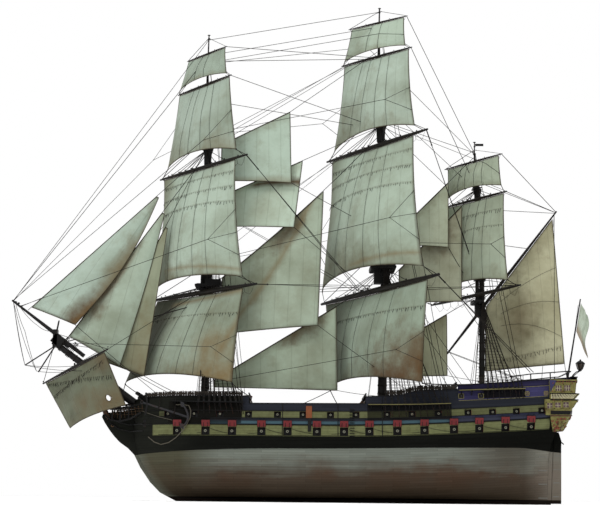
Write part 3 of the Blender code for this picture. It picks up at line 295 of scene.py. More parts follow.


# Painted planks: bands by height above the waterline, an aged white bottom below it, darkened towards the keel as
# painted shade, and painted shadow under the channels.
def hullFinish(name, bands=True, plankRow=6.4):
    paint = Paint(name, 0.5, shine=0.0)
    place = paint.place()
    x, y, z = paint.axes(place)
    aft = ((x + 120) / 624).atLeast(0.0)
    lift = (aft ** 1.8) * 28
    h = z - lift
    cloud = paint.noise(place, 6.0, 4.0, 0.6)
    fine = paint.noise(place, 70.0, 4.0, 0.65)
    streak = paint.noise(paint.vector(x / 260, y / 60, z / 7), 1.0, 4.0, 0.6)
    wobble = (fine - 0.5) * 1.2

    def above(value, edge, soft=0.5):
        return ((value - edge) / soft + 0.5).clip()

    def between(value, low, high):
        return above(value, low) * (1 - above(value, high))

    c = {key: tone(*value) for key, value in hullColours.items()}
    fore = ((-177 - x) / 446).atLeast(0.0)
    back = ((x + 177) / 540).atLeast(0.0).atMost(1.1)
    water = 142 - fore * fore * 17 + (back ** 1.2) * 9 - (x - 440).atLeast(0.0) * 0.09
    below = 1 - above(z + wobble, water, 0.8)
    # the bottom: off-white under the wale, darker and browner lower down as painted shade with stains in it, darkest by
    # the keel as painted shade, dark at the bow
    shadeAndStain = ((122 - z + (cloud - 0.5) * 80 + (streak - 0.5) * 40) / 52).clip()
    aftBrown = ((x - 220) / 150).clip() * ((500 - x) / 60).clip() * 0.8
    foreGrey = ((-390 - x) / 110).clip() * 0.85
    deep = ((66 - z + (cloud - 0.5) * 60) / 46).clip() * (1 - ((x - 400) / 110).clip() * 0.7)
    bottom = paint.mix(((streak - 0.42) * 0.8).clip(), c["bottom"], tone(90, 90, 80))
    bottom = paint.mix(foreGrey, bottom, tone(68, 65, 48))
    bottom = paint.mix(shadeAndStain.atLeast(aftBrown * (0.5 + cloud * 0.6)).clip() * 0.92 * (1 - foreGrey * 0.5), bottom, c["shadeAndStain"])
    bottom = paint.mix(((cloud - 0.5) * 5).clip() * shadeAndStain.clip() * 0.4, bottom, tone(84, 56, 40))
    bottom = paint.mix(((x - 440) / 80).clip() * 0.7, bottom, tone(122, 116, 106))
    # painted shade: darkest low down by the keel, where the bottom turns under
    bottom = paint.mix(deep * 0.9, bottom, c["deep"])
    run = ((z - 9) / 116).atLeast(0.0) ** 0.42 * 117 + x + 512
    stemward = (1 - run / 36).clip() * 0.7
    bottom = paint.mix(stemward, bottom, tone(92, 96, 86))
    # painted shade: the nearly flat underside beside the keel is painted almost black
    bottom = paint.mix(1 - above(z, 12.5, 1.5), bottom, tone(24, 20, 17))
    sides = paint.mix((cloud * 0.8).clip(), c["black"], tone(21, 21, 19))
    sides = paint.mix(((-440 - x) / 120).clip() * 0.6, sides, tone(34, 35, 31))
    if bands:
        worn = (0.55 + fine * 0.5).clip()
        lowerOchre = between(h + wobble * 0.4, 174.5, 203) * above(x, -577, 3.0) * (1 - above(x, 502, 3.0))
        upperOchre = between(h + wobble * 0.4, 223.5, 242) * above(x, -334, 3.0) * (1 - above(x, 498, 3.0))
        patch = between(h, 226, 240) * between(x, -560, -546)
        strip = between(h, 207, 215.5) * above(x, -420, 3.0)
        grey = between(h, 215, 223.5) * above(x, -420, 3.0)
        rail = above(h, 242) * above(x, -334, 3.0)
        ochre = paint.mix(((cloud - 0.4) * 4).clip() * 0.7, c["ochre"], tone(90, 92, 60))
        ochre = paint.mix(((fine - 0.42) * 2.4).clip() * 0.8, ochre, tone(78, 76, 52))
        ochre = paint.mix(above(h, 223) * 0.3, ochre, tone(66, 66, 48))
        sides = paint.mix((lowerOchre + upperOchre + patch * 0.5).clip() * worn.atLeast(0.86), sides, ochre)
        blue = paint.mix(above(x, 235, 40.0), c["blue"], c["violetGrey"])
        sides = paint.mix(strip * 0.95, sides, blue)
        sides = paint.mix(grey * 0.9, sides, paint.mix(above(x, 235, 40.0), c["grey"], tone(44, 46, 62)))
        sides = paint.mix(rail, sides, c["grey"])
        violet = paint.mix(((cloud - 0.42) * 3.4).clip() * 0.75, c["violet"], tone(34, 32, 54))
        sides = paint.mix(above(h, 264) * above(x, 252, 3.0), sides, violet)
        sides = paint.mix(above(h, 293.2) * above(x, 252, 3.0) * 0.7, sides, tone(30, 28, 44))
        # painted shadow under the channels
        channelShade = between(z - x * 0.02, 219, 262) * between(x, 4, 232) * 0.8 + between(z, 208, 266) * between(x, -534, -336) * 0.75
        channelShade = channelShade + between(z - (x - 322) * 0.045, 283, 306) * between(x, 320, 436) * 0.95
        sides = paint.mix(channelShade.clip(), sides, tone(20, 19, 17))
    shade = paint.mix(below, sides, bottom)
    planks = paint.add("ShaderNodeTexBrick", {"offset": 0.37, "squash": 1.0},
                       {"Vector": paint.vector(x, h + y * 0.02, 0.0), "Color1": (0.0, 0.0, 0.0, 1.0), "Color2": (1.0, 1.0, 1.0, 1.0),
                        "Mortar": (0.5, 0.5, 0.5, 1.0), "Scale": 1.0, "Mortar Size": 0.22, "Mortar Smooth": 0.4,
                        "Brick Width": 118.0, "Row Height": plankRow})
    seams = paint.add("ShaderNodeTexBrick", {"offset": 0.37},
                      {"Vector": paint.vector(x, h + y * 0.02, 0.0), "Scale": 1.0, "Mortar Size": 0.22, "Mortar Smooth": 0.4,
                       "Brick Width": 118.0, "Row Height": plankRow}, 1)
    shade = paint.mix(0.1, shade, planks, "OVERLAY")
    shade = paint.mix(seams * 0.5, shade, tone(20, 18, 17))
    rough = 0.42 + (cloud - 0.5) * 0.4 + below * 0.12
    return paint.feed(shade, rough, fine * 0.3 + streak * 0.5 - seams * 0.9, 0.5, 0.0006)


def sparFinish(name, base=(18, 17, 17), worn=(46, 39, 33)):
    paint = Paint(name, 0.5)
    place = paint.place()
    x, y, z = paint.axes(place)
    grain = paint.noise(paint.vector(x / 14, y / 14, z / 90), 1.0, 4.0, 0.6)
    cloud = paint.noise(place, 14.0, 3.0)
    shade = paint.mix(((grain - 0.5) * 3.0).clip() * 0.55, tone(*base), tone(*worn))
    shade = paint.mix(((cloud - 0.55) * 4.0).clip() * 0.4, shade, tone(40, 34, 30))
    return paint.feed(shade, 0.45 + (cloud - 0.5) * 0.3, grain, 0.35, 0.0004)


def deckFinish(name):
    paint = Paint(name, 0.62)
    place = paint.place()
    x, y, z = paint.axes(place)
    bricks = {"Vector": paint.vector(x, y, 0.0), "Scale": 1.0, "Mortar Size": 0.14, "Mortar Smooth": 0.2,
              "Brick Width": 130.0, "Row Height": 5.2}
    planks = paint.add("ShaderNodeTexBrick", {"offset": 0.4}, {**bricks, "Color1": tone(112, 92, 66), "Color2": tone(146, 124, 92),
                                                               "Mortar": tone(26, 20, 16)})
    seams = paint.add("ShaderNodeTexBrick", {"offset": 0.4}, bricks, 1)
    grain = paint.noise(paint.vector(x / 40, y / 3, z / 40), 1.0, 4.0, 0.6)
    shade = paint.mix((grain * 0.6).clip(), planks, tone(84, 66, 46), "MULTIPLY")
    return paint.feed(shade, 0.55 + grain * 0.2, grain * 0.4 - seams, 0.4, 0.0004)


def ropeFinish(name, colour, dark, pitchMm=1.6):
    paint = Paint(name, 0.85)
    place = paint.place()
    x, y, z = paint.axes(place)
    lay = ((x + y * 0.6 + z * 1.3) / pitchMm).part()
    lay = (lay - 0.5).size() * 2
    cloud = paint.noise(place, 22.0, 3.0)
    shade = paint.mix(lay * 0.45, tone(*colour), tone(*dark))
    shade = paint.mix(((cloud - 0.5) * 2.0).clip() * 0.5, shade, tone(*dark))
    return paint.feed(shade, 0.8 + cloud * 0.15, lay, 0.5, 0.0003)


def metalFinish(name, colour, roughness, rust=0.3, metallic=0.9):
    paint = Paint(name, roughness, metallic)
    place = paint.place()
    cloud = paint.noise(place, 90.0, 4.0, 0.6)
    share = ((cloud - 0.5) * 4.0).clip() * rust
    shade = paint.mix(share, tone(*colour), tone(86, 56, 38))
    return paint.feed(shade, roughness + share * 0.4, cloud, 0.3, 0.0003)


def glassFinish(name, colour=(58, 46, 74)):
    paint = Paint(name, 0.18, coat=0.4)
    place = paint.place()
    cloud = paint.noise(place, 60.0, 2.0)
    shade = paint.mix(((cloud - 0.4) * 2.5).clip() * 0.5, tone(*colour), tone(104, 82, 84))
    return paint.feed(shade, 0.16 + cloud * 0.12, cloud, 0.1, 0.0003)


# Reef bands as lines over the sail: level ones by their height, slanted ones by both ends.
def reefLines(facts):
    return [(0.0, row, 1.0, row) for row in facts.get("reefs", ())] + list(facts.get("slants", ()))


# Linen: woven threads, sewn seams every cloth, doubled edges, reef bands and stains at the corners, with painted light
# and shade: lit and shaded patches, painted shadows from the sails beside, painted shade to one side and along folds.
def clothFinish(name, facts):
    paint = Paint(name, 0.92, sheen=0.08)
    share = paint.axes(paint.add("ShaderNodeUVMap", {"uv_map": "share"}), 1.0)
    flat = paint.axes(paint.add("ShaderNodeUVMap", {"uv_map": "cloth"}), 1000.0)
    u, v = share[0], share[1]
    across, down = flat[0], flat[1]
    place = paint.place()
    cloud = paint.noise(place, 5.0, 5.0, 0.62)
    patchy = paint.noise(place, 19.0, 5.0, 0.66)
    threads = paint.noise(paint.vector(across / 0.9, down / 9, 0.0), 1.0, 3.0, 0.6)
    weft = paint.noise(paint.vector(across / 9, down / 0.9, 0.0), 1.0, 3.0, 0.6)
    pitchMm = facts.get("cloth", 38)
    seam = ((((across / pitchMm).part() - 0.5).size() - 0.478) * 90).clip()
    stitch = ((((across / pitchMm).part() - 0.5).size() - 0.43) * 30).clip()
    edge = ((u.atMost(1 - u) * -1 + 0.016) * 200).clip().atLeast(((v.atMost(1 - v) * -1 + 0.014) * 200).clip())
    lit, shade = tone(*facts.get("lit", (176, 186, 164))), tone(*facts.get("shade", (140, 143, 120)))
    # painted light and shade: cloudy patches of the lit and the shaded colour
    colour = paint.mix(((cloud - 0.44) * 4.0).clip() * 0.85, lit, shade)
    colour = paint.mix(((patchy - 0.52) * 4.0).clip() * 0.3, colour, tone(104, 94, 68))
    colour = paint.mix((threads * 0.5 + weft * 0.5 - 0.35).clip() * 0.3, colour, tone(86, 86, 70))
    # darker towards the edge at v = 1
    colour = paint.mix(((v - 0.8) * 4 + (patchy - 0.5) * 2).clip() * 0.4, colour, tone(98, 90, 66))
    # stains: real dirt, and painted shadows cast by the sails beside
    for spotU, spotV, reach, strength, dirtAndShade in facts.get("stainsAndShadows", ()):
        far = ((u - spotU) * (u - spotU) * facts.get("aspect", 1.0) + (v - spotV) * (v - spotV)) ** 0.5
        mask = (1 - far / reach + (patchy - 0.5) * 1.1 + (cloud - 0.5) * 0.8).clip() * strength
        colour = paint.mix(mask, colour, tone(*dirtAndShade))
    for low, high, strength, dirtAndShade in facts.get("veils", ()):
        mask = ((v - low) / (high - low) + (cloud - 0.5) * 0.5).clip() * strength
        colour = paint.mix(mask, colour, tone(*dirtAndShade))
    # painted shade towards one side of the sail
    for low, high, strength, dirtAndShade in facts.get("sideShades", ()):
        mask = ((u - low) / (high - low) + (cloud - 0.5) * 0.4).clip() * strength
        colour = paint.mix(mask, colour, tone(*dirtAndShade))
    # painted shade along folds, and painted shadow under the foot of the sail beside
    for u0, v0, u1, v1, width, strength, dirtAndShade in facts.get("shadeBands", ()):
        away = (v - v0 - (u - u0) * ((v1 - v0) / (u1 - u0))).size()
        mask = (1 - away / width + (patchy - 0.5) * 0.6).clip() * ((u - min(u0, u1)) * 8).clip() * strength
        colour = paint.mix(mask, colour, tone(*dirtAndShade))
    colour = paint.mix(seam * 0.2, colour, tone(70, 66, 50))
    colour = paint.mix(edge * 0.35, colour, tone(70, 62, 46))

    wrinkles = paint.noise(place, 30.0, 3.0, 0.55)
    height = threads * 0.2 + weft * 0.2 + stitch * 0.4 + seam * 0.5 + edge * 0.6 + patchy * 0.9 + wrinkles * 1.1
    for u0, v0, u1, v1 in reefLines(facts):
        band = (((v - v0 - (u - u0) * ((v1 - v0) / (u1 - u0))).size() * -1 + 0.011) * 260).clip()
        colour = paint.mix(band * 0.2, colour, tone(84, 78, 58))
        height = height + band * 0.5
    return paint.feed(colour, 0.88 + patchy * 0.1, height, 0.6, 0.0011)


blackPaint = plainPaint("black_paint", (14, 14, 14), (30, 27, 24))
redPaint = plainPaint("port_red", (102, 38, 40), (64, 30, 30), 0.55, 90.0)
ochrePaint = plainPaint("ochre_paint", (112, 106, 66), (70, 62, 44), 0.5, 70.0)
greyPaint = plainPaint("slate_paint", (42, 44, 52), (30, 30, 34))
galleryPaint = plainPaint("gallery_paint", (112, 108, 62), (78, 62, 42), 0.5, 90.0, 0.5, wear=0.9)
coverCloth = plainPaint("hammock_cover", (46, 42, 38), (28, 26, 25), 0.85, 120.0, 0.6)
netCord = plainPaint("net_cord", (70, 64, 56), (40, 36, 32), 0.85, 200.0)
violetPaint = plainPaint("violet_paint", (50, 48, 80), (34, 32, 50))
brownWood = plainPaint("brown_wood", (74, 54, 40), (44, 34, 28), 0.55, 50.0)
orangeWood = plainPaint("orange_board", (112, 62, 36), (70, 44, 30), 0.55, 60.0)
carvedRed = plainPaint("carved_red", (112, 56, 46), (72, 54, 36), 0.5, 120.0, 0.6)
carvedWood = plainPaint("carved_wood", (80, 60, 42), (44, 35, 28), 0.5, 120.0, 0.6)
sashPaint = plainPaint("sash_paint", (176, 170, 138), (124, 112, 86), 0.5, 120.0)
redBrown = plainPaint("red_brown_wood", (92, 50, 38), (58, 38, 32), 0.55, 60.0)
brassWork = metalFinish("brass", (150, 120, 62), 0.35, 0.2, 0.9)
gunIron = metalFinish("gun_iron", (46, 46, 48), 0.55, 0.4, 0.6)
muzzleGrey = metalFinish("muzzle_grey", (112, 112, 98), 0.55, 0.4, 0.3)
ironWork = metalFinish("ironwork", (28, 26, 26), 0.7, 0.5, 0.4)
lightIron = metalFinish("light_iron", (112, 112, 106), 0.5, 0.3, 0.4)
paneGlass = glassFinish("pane_glass", (66, 48, 52))
lampGlass = glassFinish("lamp_glass", (48, 44, 34))
hullPaint = hullFinish("hull_paint")
keelPaint = hullFinish("keel_paint", bands=False, plankRow=40.0)
sparPaint = sparFinish("spar_paint")
deckWood = deckFinish("deck_planks")
tarRope = ropeFinish("tarred_rope", (26, 22, 19), (12, 11, 10))
hempRope = ropeFinish("hemp_rope", (88, 84, 74), (52, 48, 40))
boltRope = ropeFinish("bolt_rope", (62, 54, 40), (36, 31, 24), 1.2)
darkRope = ropeFinish("dark_line", (34, 31, 28), (18, 16, 15), 1.2)
print("finishes ready")


# The hull's shape, as the solid has it.
hullForm = {
    "stemInner": [(-512, 9), (-553, 23), (-583, 51), (-611, 92), (-629, 125), (-638, 160), (-641, 200), (-642, 360)],
    "sternInner": [(508, 9), (511, 54), (518, 161), (521, 190), (533, 203), (544, 217), (551, 234), (556, 247),
                   (560, 268), (566, 300), (572, 360)],
    "midship": [(4.5, 9), (34, 12), (64, 17), (92, 27), (115, 43), (133, 66), (144, 95), (150, 130), (151.5, 150),
                (150.5, 175), (145, 205), (137, 235), (130, 265), (124, 300), (118, 360)],
    "entrance": [(360, 9), (330, 40), (270, 90), (210, 140), (180, 200), (175, 360)],
    "run": [(520, 9), (480, 60), (430, 120), (380, 170), (330, 220), (320, 360)],
    "transom": [(0.0, 9), (0.0, 110), (0.05, 140), (0.22, 165), (0.5, 190), (0.66, 215), (0.72, 260), (0.74, 360)],
    "rail": [(-660, 270), (-600, 278), (-540, 280), (-316.5, 282), (-315.5, 262), (-0.5, 264), (0.5, 283), (90, 288),
             (140, 301), (249.5, 305), (250.5, 317), (420, 330), (600, 347)],
    "decks": [(-604, -319, 264), (-313, -3, 246), (3, 247, 276), (253, 562, 305)],
    "bulwark": 5.0,
    "wale": 2.2,
}
gunPorts = {
    "lower": [-508, -431, -360, -281, -211, -132, -59, 9, 84, 157, 236.5, 305.5, 377.5, 449],
    "upper": [-535, -463.5, -393.5, -316.7, -238.5, -169.7, -95.5, -26.7, 57, 124.5, 196, 276, 343, 409, 480],
    "quarter": [(259, 288), (313, 289), (437.4, 297), (470.9, 298)],
    "lowerHalf": (11.3, 9.0), "upperHalf": (9.5, 8.0), "deep": 8.0, "lid": 17.5,
}


def readTable(table, z):
    return float(np.interp(z, [pair[1] for pair in table], [pair[0] for pair in table]))


def halfBreadth(x, z):
    first, last = readTable(hullForm["stemInner"], z), readTable(hullForm["sternInner"], z)
    ahead = min(1.0, max(0.0, (x - first) / readTable(hullForm["entrance"], z)))
    behind = min(1.0, max(0.0, (last - x) / readTable(hullForm["run"], z)))
    bluff = float(np.interp(z, [9, 80, 200], [1.0, 0.75, 0.55]))
    bow = (1 - (1 - ahead) ** 2.1) ** bluff
    tail = readTable(hullForm["transom"], z)
    return max(4.0, readTable(hullForm["midship"], z) * bow * (tail + (1 - tail) * (1 - (1 - behind) ** 2.0)))


def railAt(x):
    return float(np.interp(x, [p[0] for p in hullForm["rail"]], [p[1] for p in hullForm["rail"]]))


def lowerPortLine(x):
    return 188.7 + 21 * max(0.0, (x + 120) / 569) ** 1.55


def upperPortLine(x):
    return 232.4 + 19.5 * max(0.0, (x + 120) / 600) ** 1.6


# How far a lower gun port reaches down from its line: nearly to the wale.
def portFoot(x):
    return min(14.0, lowerPortLine(x) - 175.4 - sheerOf(x))


# A point on the hull's side; side is -1 to port and 1 to starboard, out lies off the planks.
def onHull(x, z, side=-1, out=0.0):
    return Vector((x, side * (halfBreadth(x, z) + out), z))


def lowestAt(x):
    if x < -512:
        return float(np.interp(-x, [-p[0] for p in hullForm["stemInner"]], [p[1] for p in hullForm["stemInner"]]))
    if x > 508:
        return float(np.interp(x, [p[0] for p in hullForm["sternInner"]], [p[1] for p in hullForm["sternInner"]]))
    return 9.0


def hullColumns():
    places = [x for x in np.arange(-500, 501, 9.0)]
    places += [readTable(hullForm["stemInner"], z) for z in (9, 13, 18, 24, 32, 42, 54, 68, 82, 98, 112, 125, 142, 162, 185, 215, 280)]
    places += [readTable(hullForm["sternInner"], z) for z in (9, 40, 70, 110, 140, 161, 176, 190, 196, 203, 210, 217, 226, 234, 241, 247, 257, 268, 284, 300, 330)]
    places += [-519, -560, -605]
    fixed = [x + s * gunPorts["lowerHalf"][0] for x in gunPorts["lower"] for s in (-1, 1)]
    fixed += [x + s * gunPorts["upperHalf"][0] for x in gunPorts["upper"] for s in (-1, 1)]
    fixed += [-316.5, -315.5, -0.5, 0.5, 249.5, 250.5]
    kept = [x for x in places if all(abs(x - f) > 2.0 for f in fixed)]
    return sorted(set(round(x, 2) for x in kept + fixed))


def buildHull():
    columns = hullColumns()
    shares = [0, 0.02, 0.05, 0.09, 0.14, 0.2, 0.27, 0.35, 0.44, 0.53, 0.62, 0.71, 0.8, 0.9, 1.0]

    # rows of one station from the keel up, as (height, how far it stands off the planks)
    def station(x):
        low, water, lift = lowestAt(x), waterLineOf(x), sheerOf(x)
        waleTop = 174 + lift
        lp, up, top = lowerPortLine(x), upperPortLine(x), railAt(x)
        proud = hullForm["wale"] * min(1.0, max(0.0, (x + 645) / 40))
        rows = [(low + (water - low) * s, 0.0) for s in shares]
        rows += [(water + 0.3, proud)]
        rows += [(water + (waleTop - water) * s, proud - dip) for s, dip in ((0.31, 0), (0.33, 0.5), (0.35, 0), (0.64, 0), (0.66, 0.5), (0.68, 0))]
        rows += [(waleTop, proud), (waleTop + 0.3, 0.0)]
        rows += [(lp - portFoot(x), 0.0), (lp - 3, 0.0), (lp + 3, 0.0), (lp + 9, 0.0)]
        rows += [(lp + 9 + (up - lp - 17) * s, 0.0) for s in (0.33, 0.66, 1.0)]
        rows += [(up - 2.7, 0.0), (up + 2.7, 0.0), (up + 8, 0.0)]
        rows += [(up + 8 + (top - up - 8) * s, 0.0) for s in (0.25, 0.5, 0.75, 1.0)]
        return [(max(low, min(z, top)), out) for z, out in rows]

    stations = [station(x) for x in columns]
    count = len(stations[0])
    lowerRow = len(shares) + 1 + 6 + 2
    upperRow = lowerRow + 3 + 3
    shell = Shape()
    guns = Shape()
    for side in (-1, 1):
        points = [onHull(x, z, side, out) for x, rows in zip(columns, stations) for z, out in rows]
        holes = set()
        for i in range(len(columns) - 1):
            middle = (columns[i] + columns[i + 1]) / 2
            if any(abs(middle - x) < gunPorts["lowerHalf"][0] for x in gunPorts["lower"]):
                holes |= {(i, j) for j in range(lowerRow, lowerRow + 3)}
            if any(abs(middle - x) < gunPorts["upperHalf"][0] for x in gunPorts["upper"]):
                holes |= {(i, j) for j in range(upperRow, upperRow + 3)}
        faces = []
        for i in range(len(columns) - 1):
            for j in range(count - 1):
                if (i, j) in holes:
                    continue
                a, b = i * count + j, (i + 1) * count + j
                ring = [a, b, b + 1, a + 1] if side < 0 else [a, a + 1, b + 1, b]
                heights = {round(points[k].z, 3) for k in ring}
                if len(heights) > 1:
                    faces.append(ring)
        shell.add(points, faces, 0, True)
    # the counter and the sternpost's sides close between the two shells
    width = len(columns) * count
    under = [i for i, x in enumerate(columns) if x >= 507.5]
    strip = [(i * count, width + i * count, width + j * count, j * count) for i, j in zip(under, under[1:])]
    shell.faces += strip
    shell.slots += [0] * len(strip)
    shell.smooth += [False] * len(strip)
    last = (len(columns) - 1) * count
    wall = [(last + j, width + last + j, width + last + j + 1, last + j + 1) for j in range(count - 1)
            if abs(shell.points[last + j][2] - shell.points[last + j + 1][2]) > 0.01]
    shell.faces += wall
    shell.slots += [0] * len(wall)
    shell.smooth += [False] * len(wall)
    # recesses of the gun ports
    deep = gunPorts["deep"]
    for side in (-1, 1):
        for kind, line in (("lower", lowerPortLine), ("upper", upperPortLine)):
            halfX, halfZ = gunPorts[kind + "Half"]
            for x in gunPorts[kind]:
                corners = []
                for dx, dz in ((-1, -1), (1, -1), (1, 1), (-1, 1)):
                    foot = portFoot(x + dx * halfX) if kind == "lower" and dz < 0 else halfZ
                    corners.append(onHull(x + dx * halfX, line(x + dx * halfX) + dz * foot, side))
                inner = [p - Vector((0, side * deep, 0)) for p in corners]
                shell.add(corners + inner, [(k, (k + 1) % 4, 4 + (k + 1) % 4, 4 + k) for k in range(4)], 3)
                shell.add(inner, [(0, 1, 2, 3)], 2)
                middle = onHull(x, line(x) - (2.0 if kind == "lower" else 0.0), side)
                out = Vector((0, side, 0))
                reach = 6.5 if kind == "lower" else 5.0
                thick = 3.3 if kind == "lower" else 2.7
                guns.turned(middle - out * deep, middle + out * reach,
                            [(0, thick * 1.05), (0.55, thick * 0.9), (0.8, thick * 0.85)], 12, 0)
                guns.turned(middle + out * (reach - 3.4), middle + out * reach,
                            [(0, thick * 0.9), (0.3, thick * 1.12), (0.85, thick * 1.12), (1, thick * 0.95)], 12, 1)
                guns.turned(middle + out * (reach - 0.2), middle + out * (reach + 0.06), [(0, thick * 0.55), (1, thick * 0.55)], 10, 2)
                if kind == "lower":
                    hinge = onHull(x, line(x) + halfZ + 0.8, side, 0.6)
                    top = hinge + Vector((0, side * 6.5, gunPorts["lid"]))
                    run = (top - hinge).normalized()
                    across = Vector((1, 0, 0))
                    normal = across.cross(run).normalized()
                    if normal.y * side < 0:
                        normal = -normal
                    guns.box((hinge + top) / 2 - normal * 0.9, (halfX * 2 + 1, (top - hinge).length, 1.2), 4, (across, run, normal))
                    guns.box((hinge + top) / 2, (halfX * 2 - 0.6, (top - hinge).length - 1.4, 1.0), 3, (across, run, normal))
                    for s in (-0.5, 0.5):
                        guns.box(hinge + across * s * halfX + run * 6 + normal * 0.7, (1.4, 12, 0.6), 4, (across, run, normal))
                        guns.tube([top + across * s * halfX * 1.4 - run * 3, onHull(x + s * halfX * 1.4, line(x) + halfZ + 26, side, 0.2)], 0.35, 4, 4)
    # inside of the bulwarks, decks and the walls between them
    thick = hullForm["bulwark"]
    for first, lastX, floor in hullForm["decks"]:
        xs = [first] + [x for x in columns if first + 2 < x < lastX - 2] + [lastX]
        for side in (-1, 1):
            rings = [[Vector((x, side * max(2.0, halfBreadth(x, z) - thick), z)) for z in (floor, (floor + railAt(x)) / 2, railAt(x))] for x in xs]
            shell.loft(rings if side > 0 else [ring[::-1] for ring in rings], 4, closed=False)
        deck = Shape()
        edge = [max(2.0, halfBreadth(x, floor) - thick) for x in xs]
        shell.add([(x, s * e, floor) for x, e in zip(xs, edge) for s in (-1, 1)],
                  [(2 * i, 2 * i + 2, 2 * i + 3, 2 * i + 1) for i in range(len(xs) - 1)], 1)
        for x, toward in ((first, -0.6), (lastX, 0.6)):
            top = railAt(x + toward * 5)
            low, high = max(2.0, halfBreadth(x, floor) - thick), max(2.0, halfBreadth(x, top) - thick)
            shell.add([(x, -low, floor), (x, low, floor), (x, high, top), (x, -high, top)], [(0, 1, 2, 3)], 5)
    hull = shell.make("hull_shell", [hullPaint, deckWood, blackPaint, redPaint, greyPaint, brownWood], sharp=28)
    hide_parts("hull")
    guns.make("guns_and_lids", [gunIron, muzzleGrey, blackPaint, redPaint, blackPaint])


buildHull()
print("hull built")


# Rail caps, breast rails and the long mouldings that part the bands.
mouldings = [
    # height above the sheer, from x, to x, radius, paint
    (204.6, -600, 500, 1.1, 0), (223.3, -600, 500, 0.9, 0), (242.6, -600, 498, 1.1, 0), (216, -420, 500, 0.5, 2),
    (264.5, 252, 498, 0.7, 1), (176.5, -560, 505, 0.6, 0), (293.2, 252, 506, 0.7, 1),
]


def buildRails():
    rails = Shape()
    spans = [(-628, -317), (-315, -1), (1, 249), (251, 569)]
    for side in (-1, 1):
        for first, last in spans:
            xs = np.linspace(first, last, max(6, int((last - first) / 9)))
            line = [onHull(x, railAt(x), side, -2.2) + Vector((0, 0, 1.0)) for x in xs]
            rails.bar(line, 8.0, 2.2, 0)
        for height, first, last, radius, paint in mouldings:
            xs = np.linspace(first, last, int((last - first) / 9))
            rails.tube([onHull(x, min(railAt(x) - 1, height + sheerOf(x)), side, 0.3) for x in xs], radius, 6, paint)
    for x, z in ((-318, 282), (-313, 262), (-1.5, 283), (1.5, 283), (248, 305), (252, 317)):
        half = halfBreadth(x, z) - 3
        rails.bar([(x, -half, z + 1), (x, half, z + 1)], 5.0, 2.2, 0)
    # pitch in the seam between the planks and the keel, stem and sternpost
    seam = [(x, 0, z - 0.2) for x, z in hullForm["stemInner"][5::-1] + hullForm["sternInner"][:3]]
    rails.bar(seam, 7.4, 1.6, 0)
    # the rail round the bow
    bow =[onHull(x, railAt(x), s, -2.2) + Vector((0, 0, 1)) for s, xs in ((-1, (-612, -622, -630, -637)), (1, (-637, -630, -622, -612))) for x in xs]
    rails.bar(bow, 8.0, 2.2, 0)
    rails.make("rail_caps", [blackPaint, ochrePaint, greyPaint])


buildRails()
print("rails built")


# Masts and yards, as the solids have them.
gap = 0.4
masts = {
    "fore": {"x": -447, "foot": 264, "rake": 0.9, "top": 604, "cap": 672, "lower": 11.0, "topmast": 7.0,
             "crosstrees": 1012, "topcap": 1050, "pole": 4.2, "truck": 1356, "aft": 1.2},
    "main": {"x": 52, "foot": 276, "rake": 1.3, "top": 659, "cap": 735, "lower": 13.0, "topmast": 8.2,
             "crosstrees": 1090, "topcap": 1134, "pole": 4.8, "truck": 1445, "aft": 0.85},
    "mizzen": {"x": 333, "foot": 305, "rake": 0.95, "top": 566, "cap": 634, "lower": 8.5, "topmast": 5.6,
               "crosstrees": 898, "topcap": 928, "pole": 3.4, "truck": 1037, "aft": 0.2},
}
yards = {
    "foreCourse": ("fore", "lower", 582, 44, 231, 7.0, 8), "foreTopsail": ("fore", "topmast", 948, 41.5, 206, 5.2, 8),
    "foreTopgallant": ("fore", "pole", 1198, 40.5, 131, 3.4, 4), "foreRoyal": ("fore", "pole", 1295, 42, 94, 2.4, 1),
    "mainCourse": ("main", "lower", 594, 28, 318, 8.5, 8), "mainTopsail": ("main", "topmast", 1017, 36, 229, 6.2, 8),
    "mainTopgallant": ("main", "pole", 1290, 48, 132, 3.6, 4), "mainRoyal": ("main", "pole", 1396, 54, 103, 2.6, 3),
    "crossjack": ("mizzen", "topmast", 583, 27, 221, 5.0, 1), "mizzenTopsail": ("mizzen", "topmast", 863, 34.5, 133, 4.0, 1),
    "mizzenTopgallant": ("mizzen", "pole", 976, 37, 118, 2.8, 1),
}
yardKeys = ("mast", "on", "z", "brace", "half", "radius", "parrel")
yards = {name: dict(zip(yardKeys, facts)) for name, facts in yards.items()}


def mastAxis(mast, z, section="lower"):
    facts = masts[mast]
    x = facts["x"] + math.tan(math.radians(facts["rake"])) * (z - facts["foot"])
    if section in ("topmast", "pole"):
        x -= facts["lower"] * 0.78 + facts["topmast"] + 1.5
    if section == "pole":
        x -= facts["topmast"] * 0.75 + facts["pole"] + 1.2
    return x


def mastRadius(mast, section, z):
    facts = masts[mast]
    low, high, thin = {"lower": (facts["foot"], facts["cap"], 0.78), "topmast": (facts["top"], facts["topcap"], 0.75),
                       "pole": (facts["crosstrees"], facts["truck"], 0.42)}[section]
    return facts[section] * (1 + (thin - 1) * (z - low) / (high - low))


def mastPoint(mast, z, section="lower", ahead=0.0):
    return Vector((mastAxis(mast, z, section) - ahead, 0, z))


def yardFacts(name):
    yard = yards[name]
    turn = math.radians(yard["brace"])
    ahead = Vector((-math.cos(turn), -math.sin(turn), 0))
    along = Vector((math.sin(turn), -math.cos(turn), 0))
    reach = mastRadius(yard["mast"], yard["on"], yard["z"]) + yard["radius"] + yard["parrel"] + gap
    return Vector((mastAxis(yard["mast"], yard["z"], yard["on"]), 0, yard["z"])) + ahead * reach, along, ahead


def yardRadius(name, share):
    return yards[name]["radius"] * float(np.interp(abs(share), [0, 0.25, 0.5, 0.75, 1.0], [1, 0.98, 0.9, 0.72, 0.45]))


# A spot on a yard: share runs from -1, the starboard arm, to 1, the port arm.
def onYard(name, share, above=0.0, ahead=0.0):
    centre, along, front = yardFacts(name)
    return centre + along * (share * yards[name]["half"]) + Vector((0, 0, above)) + front * ahead


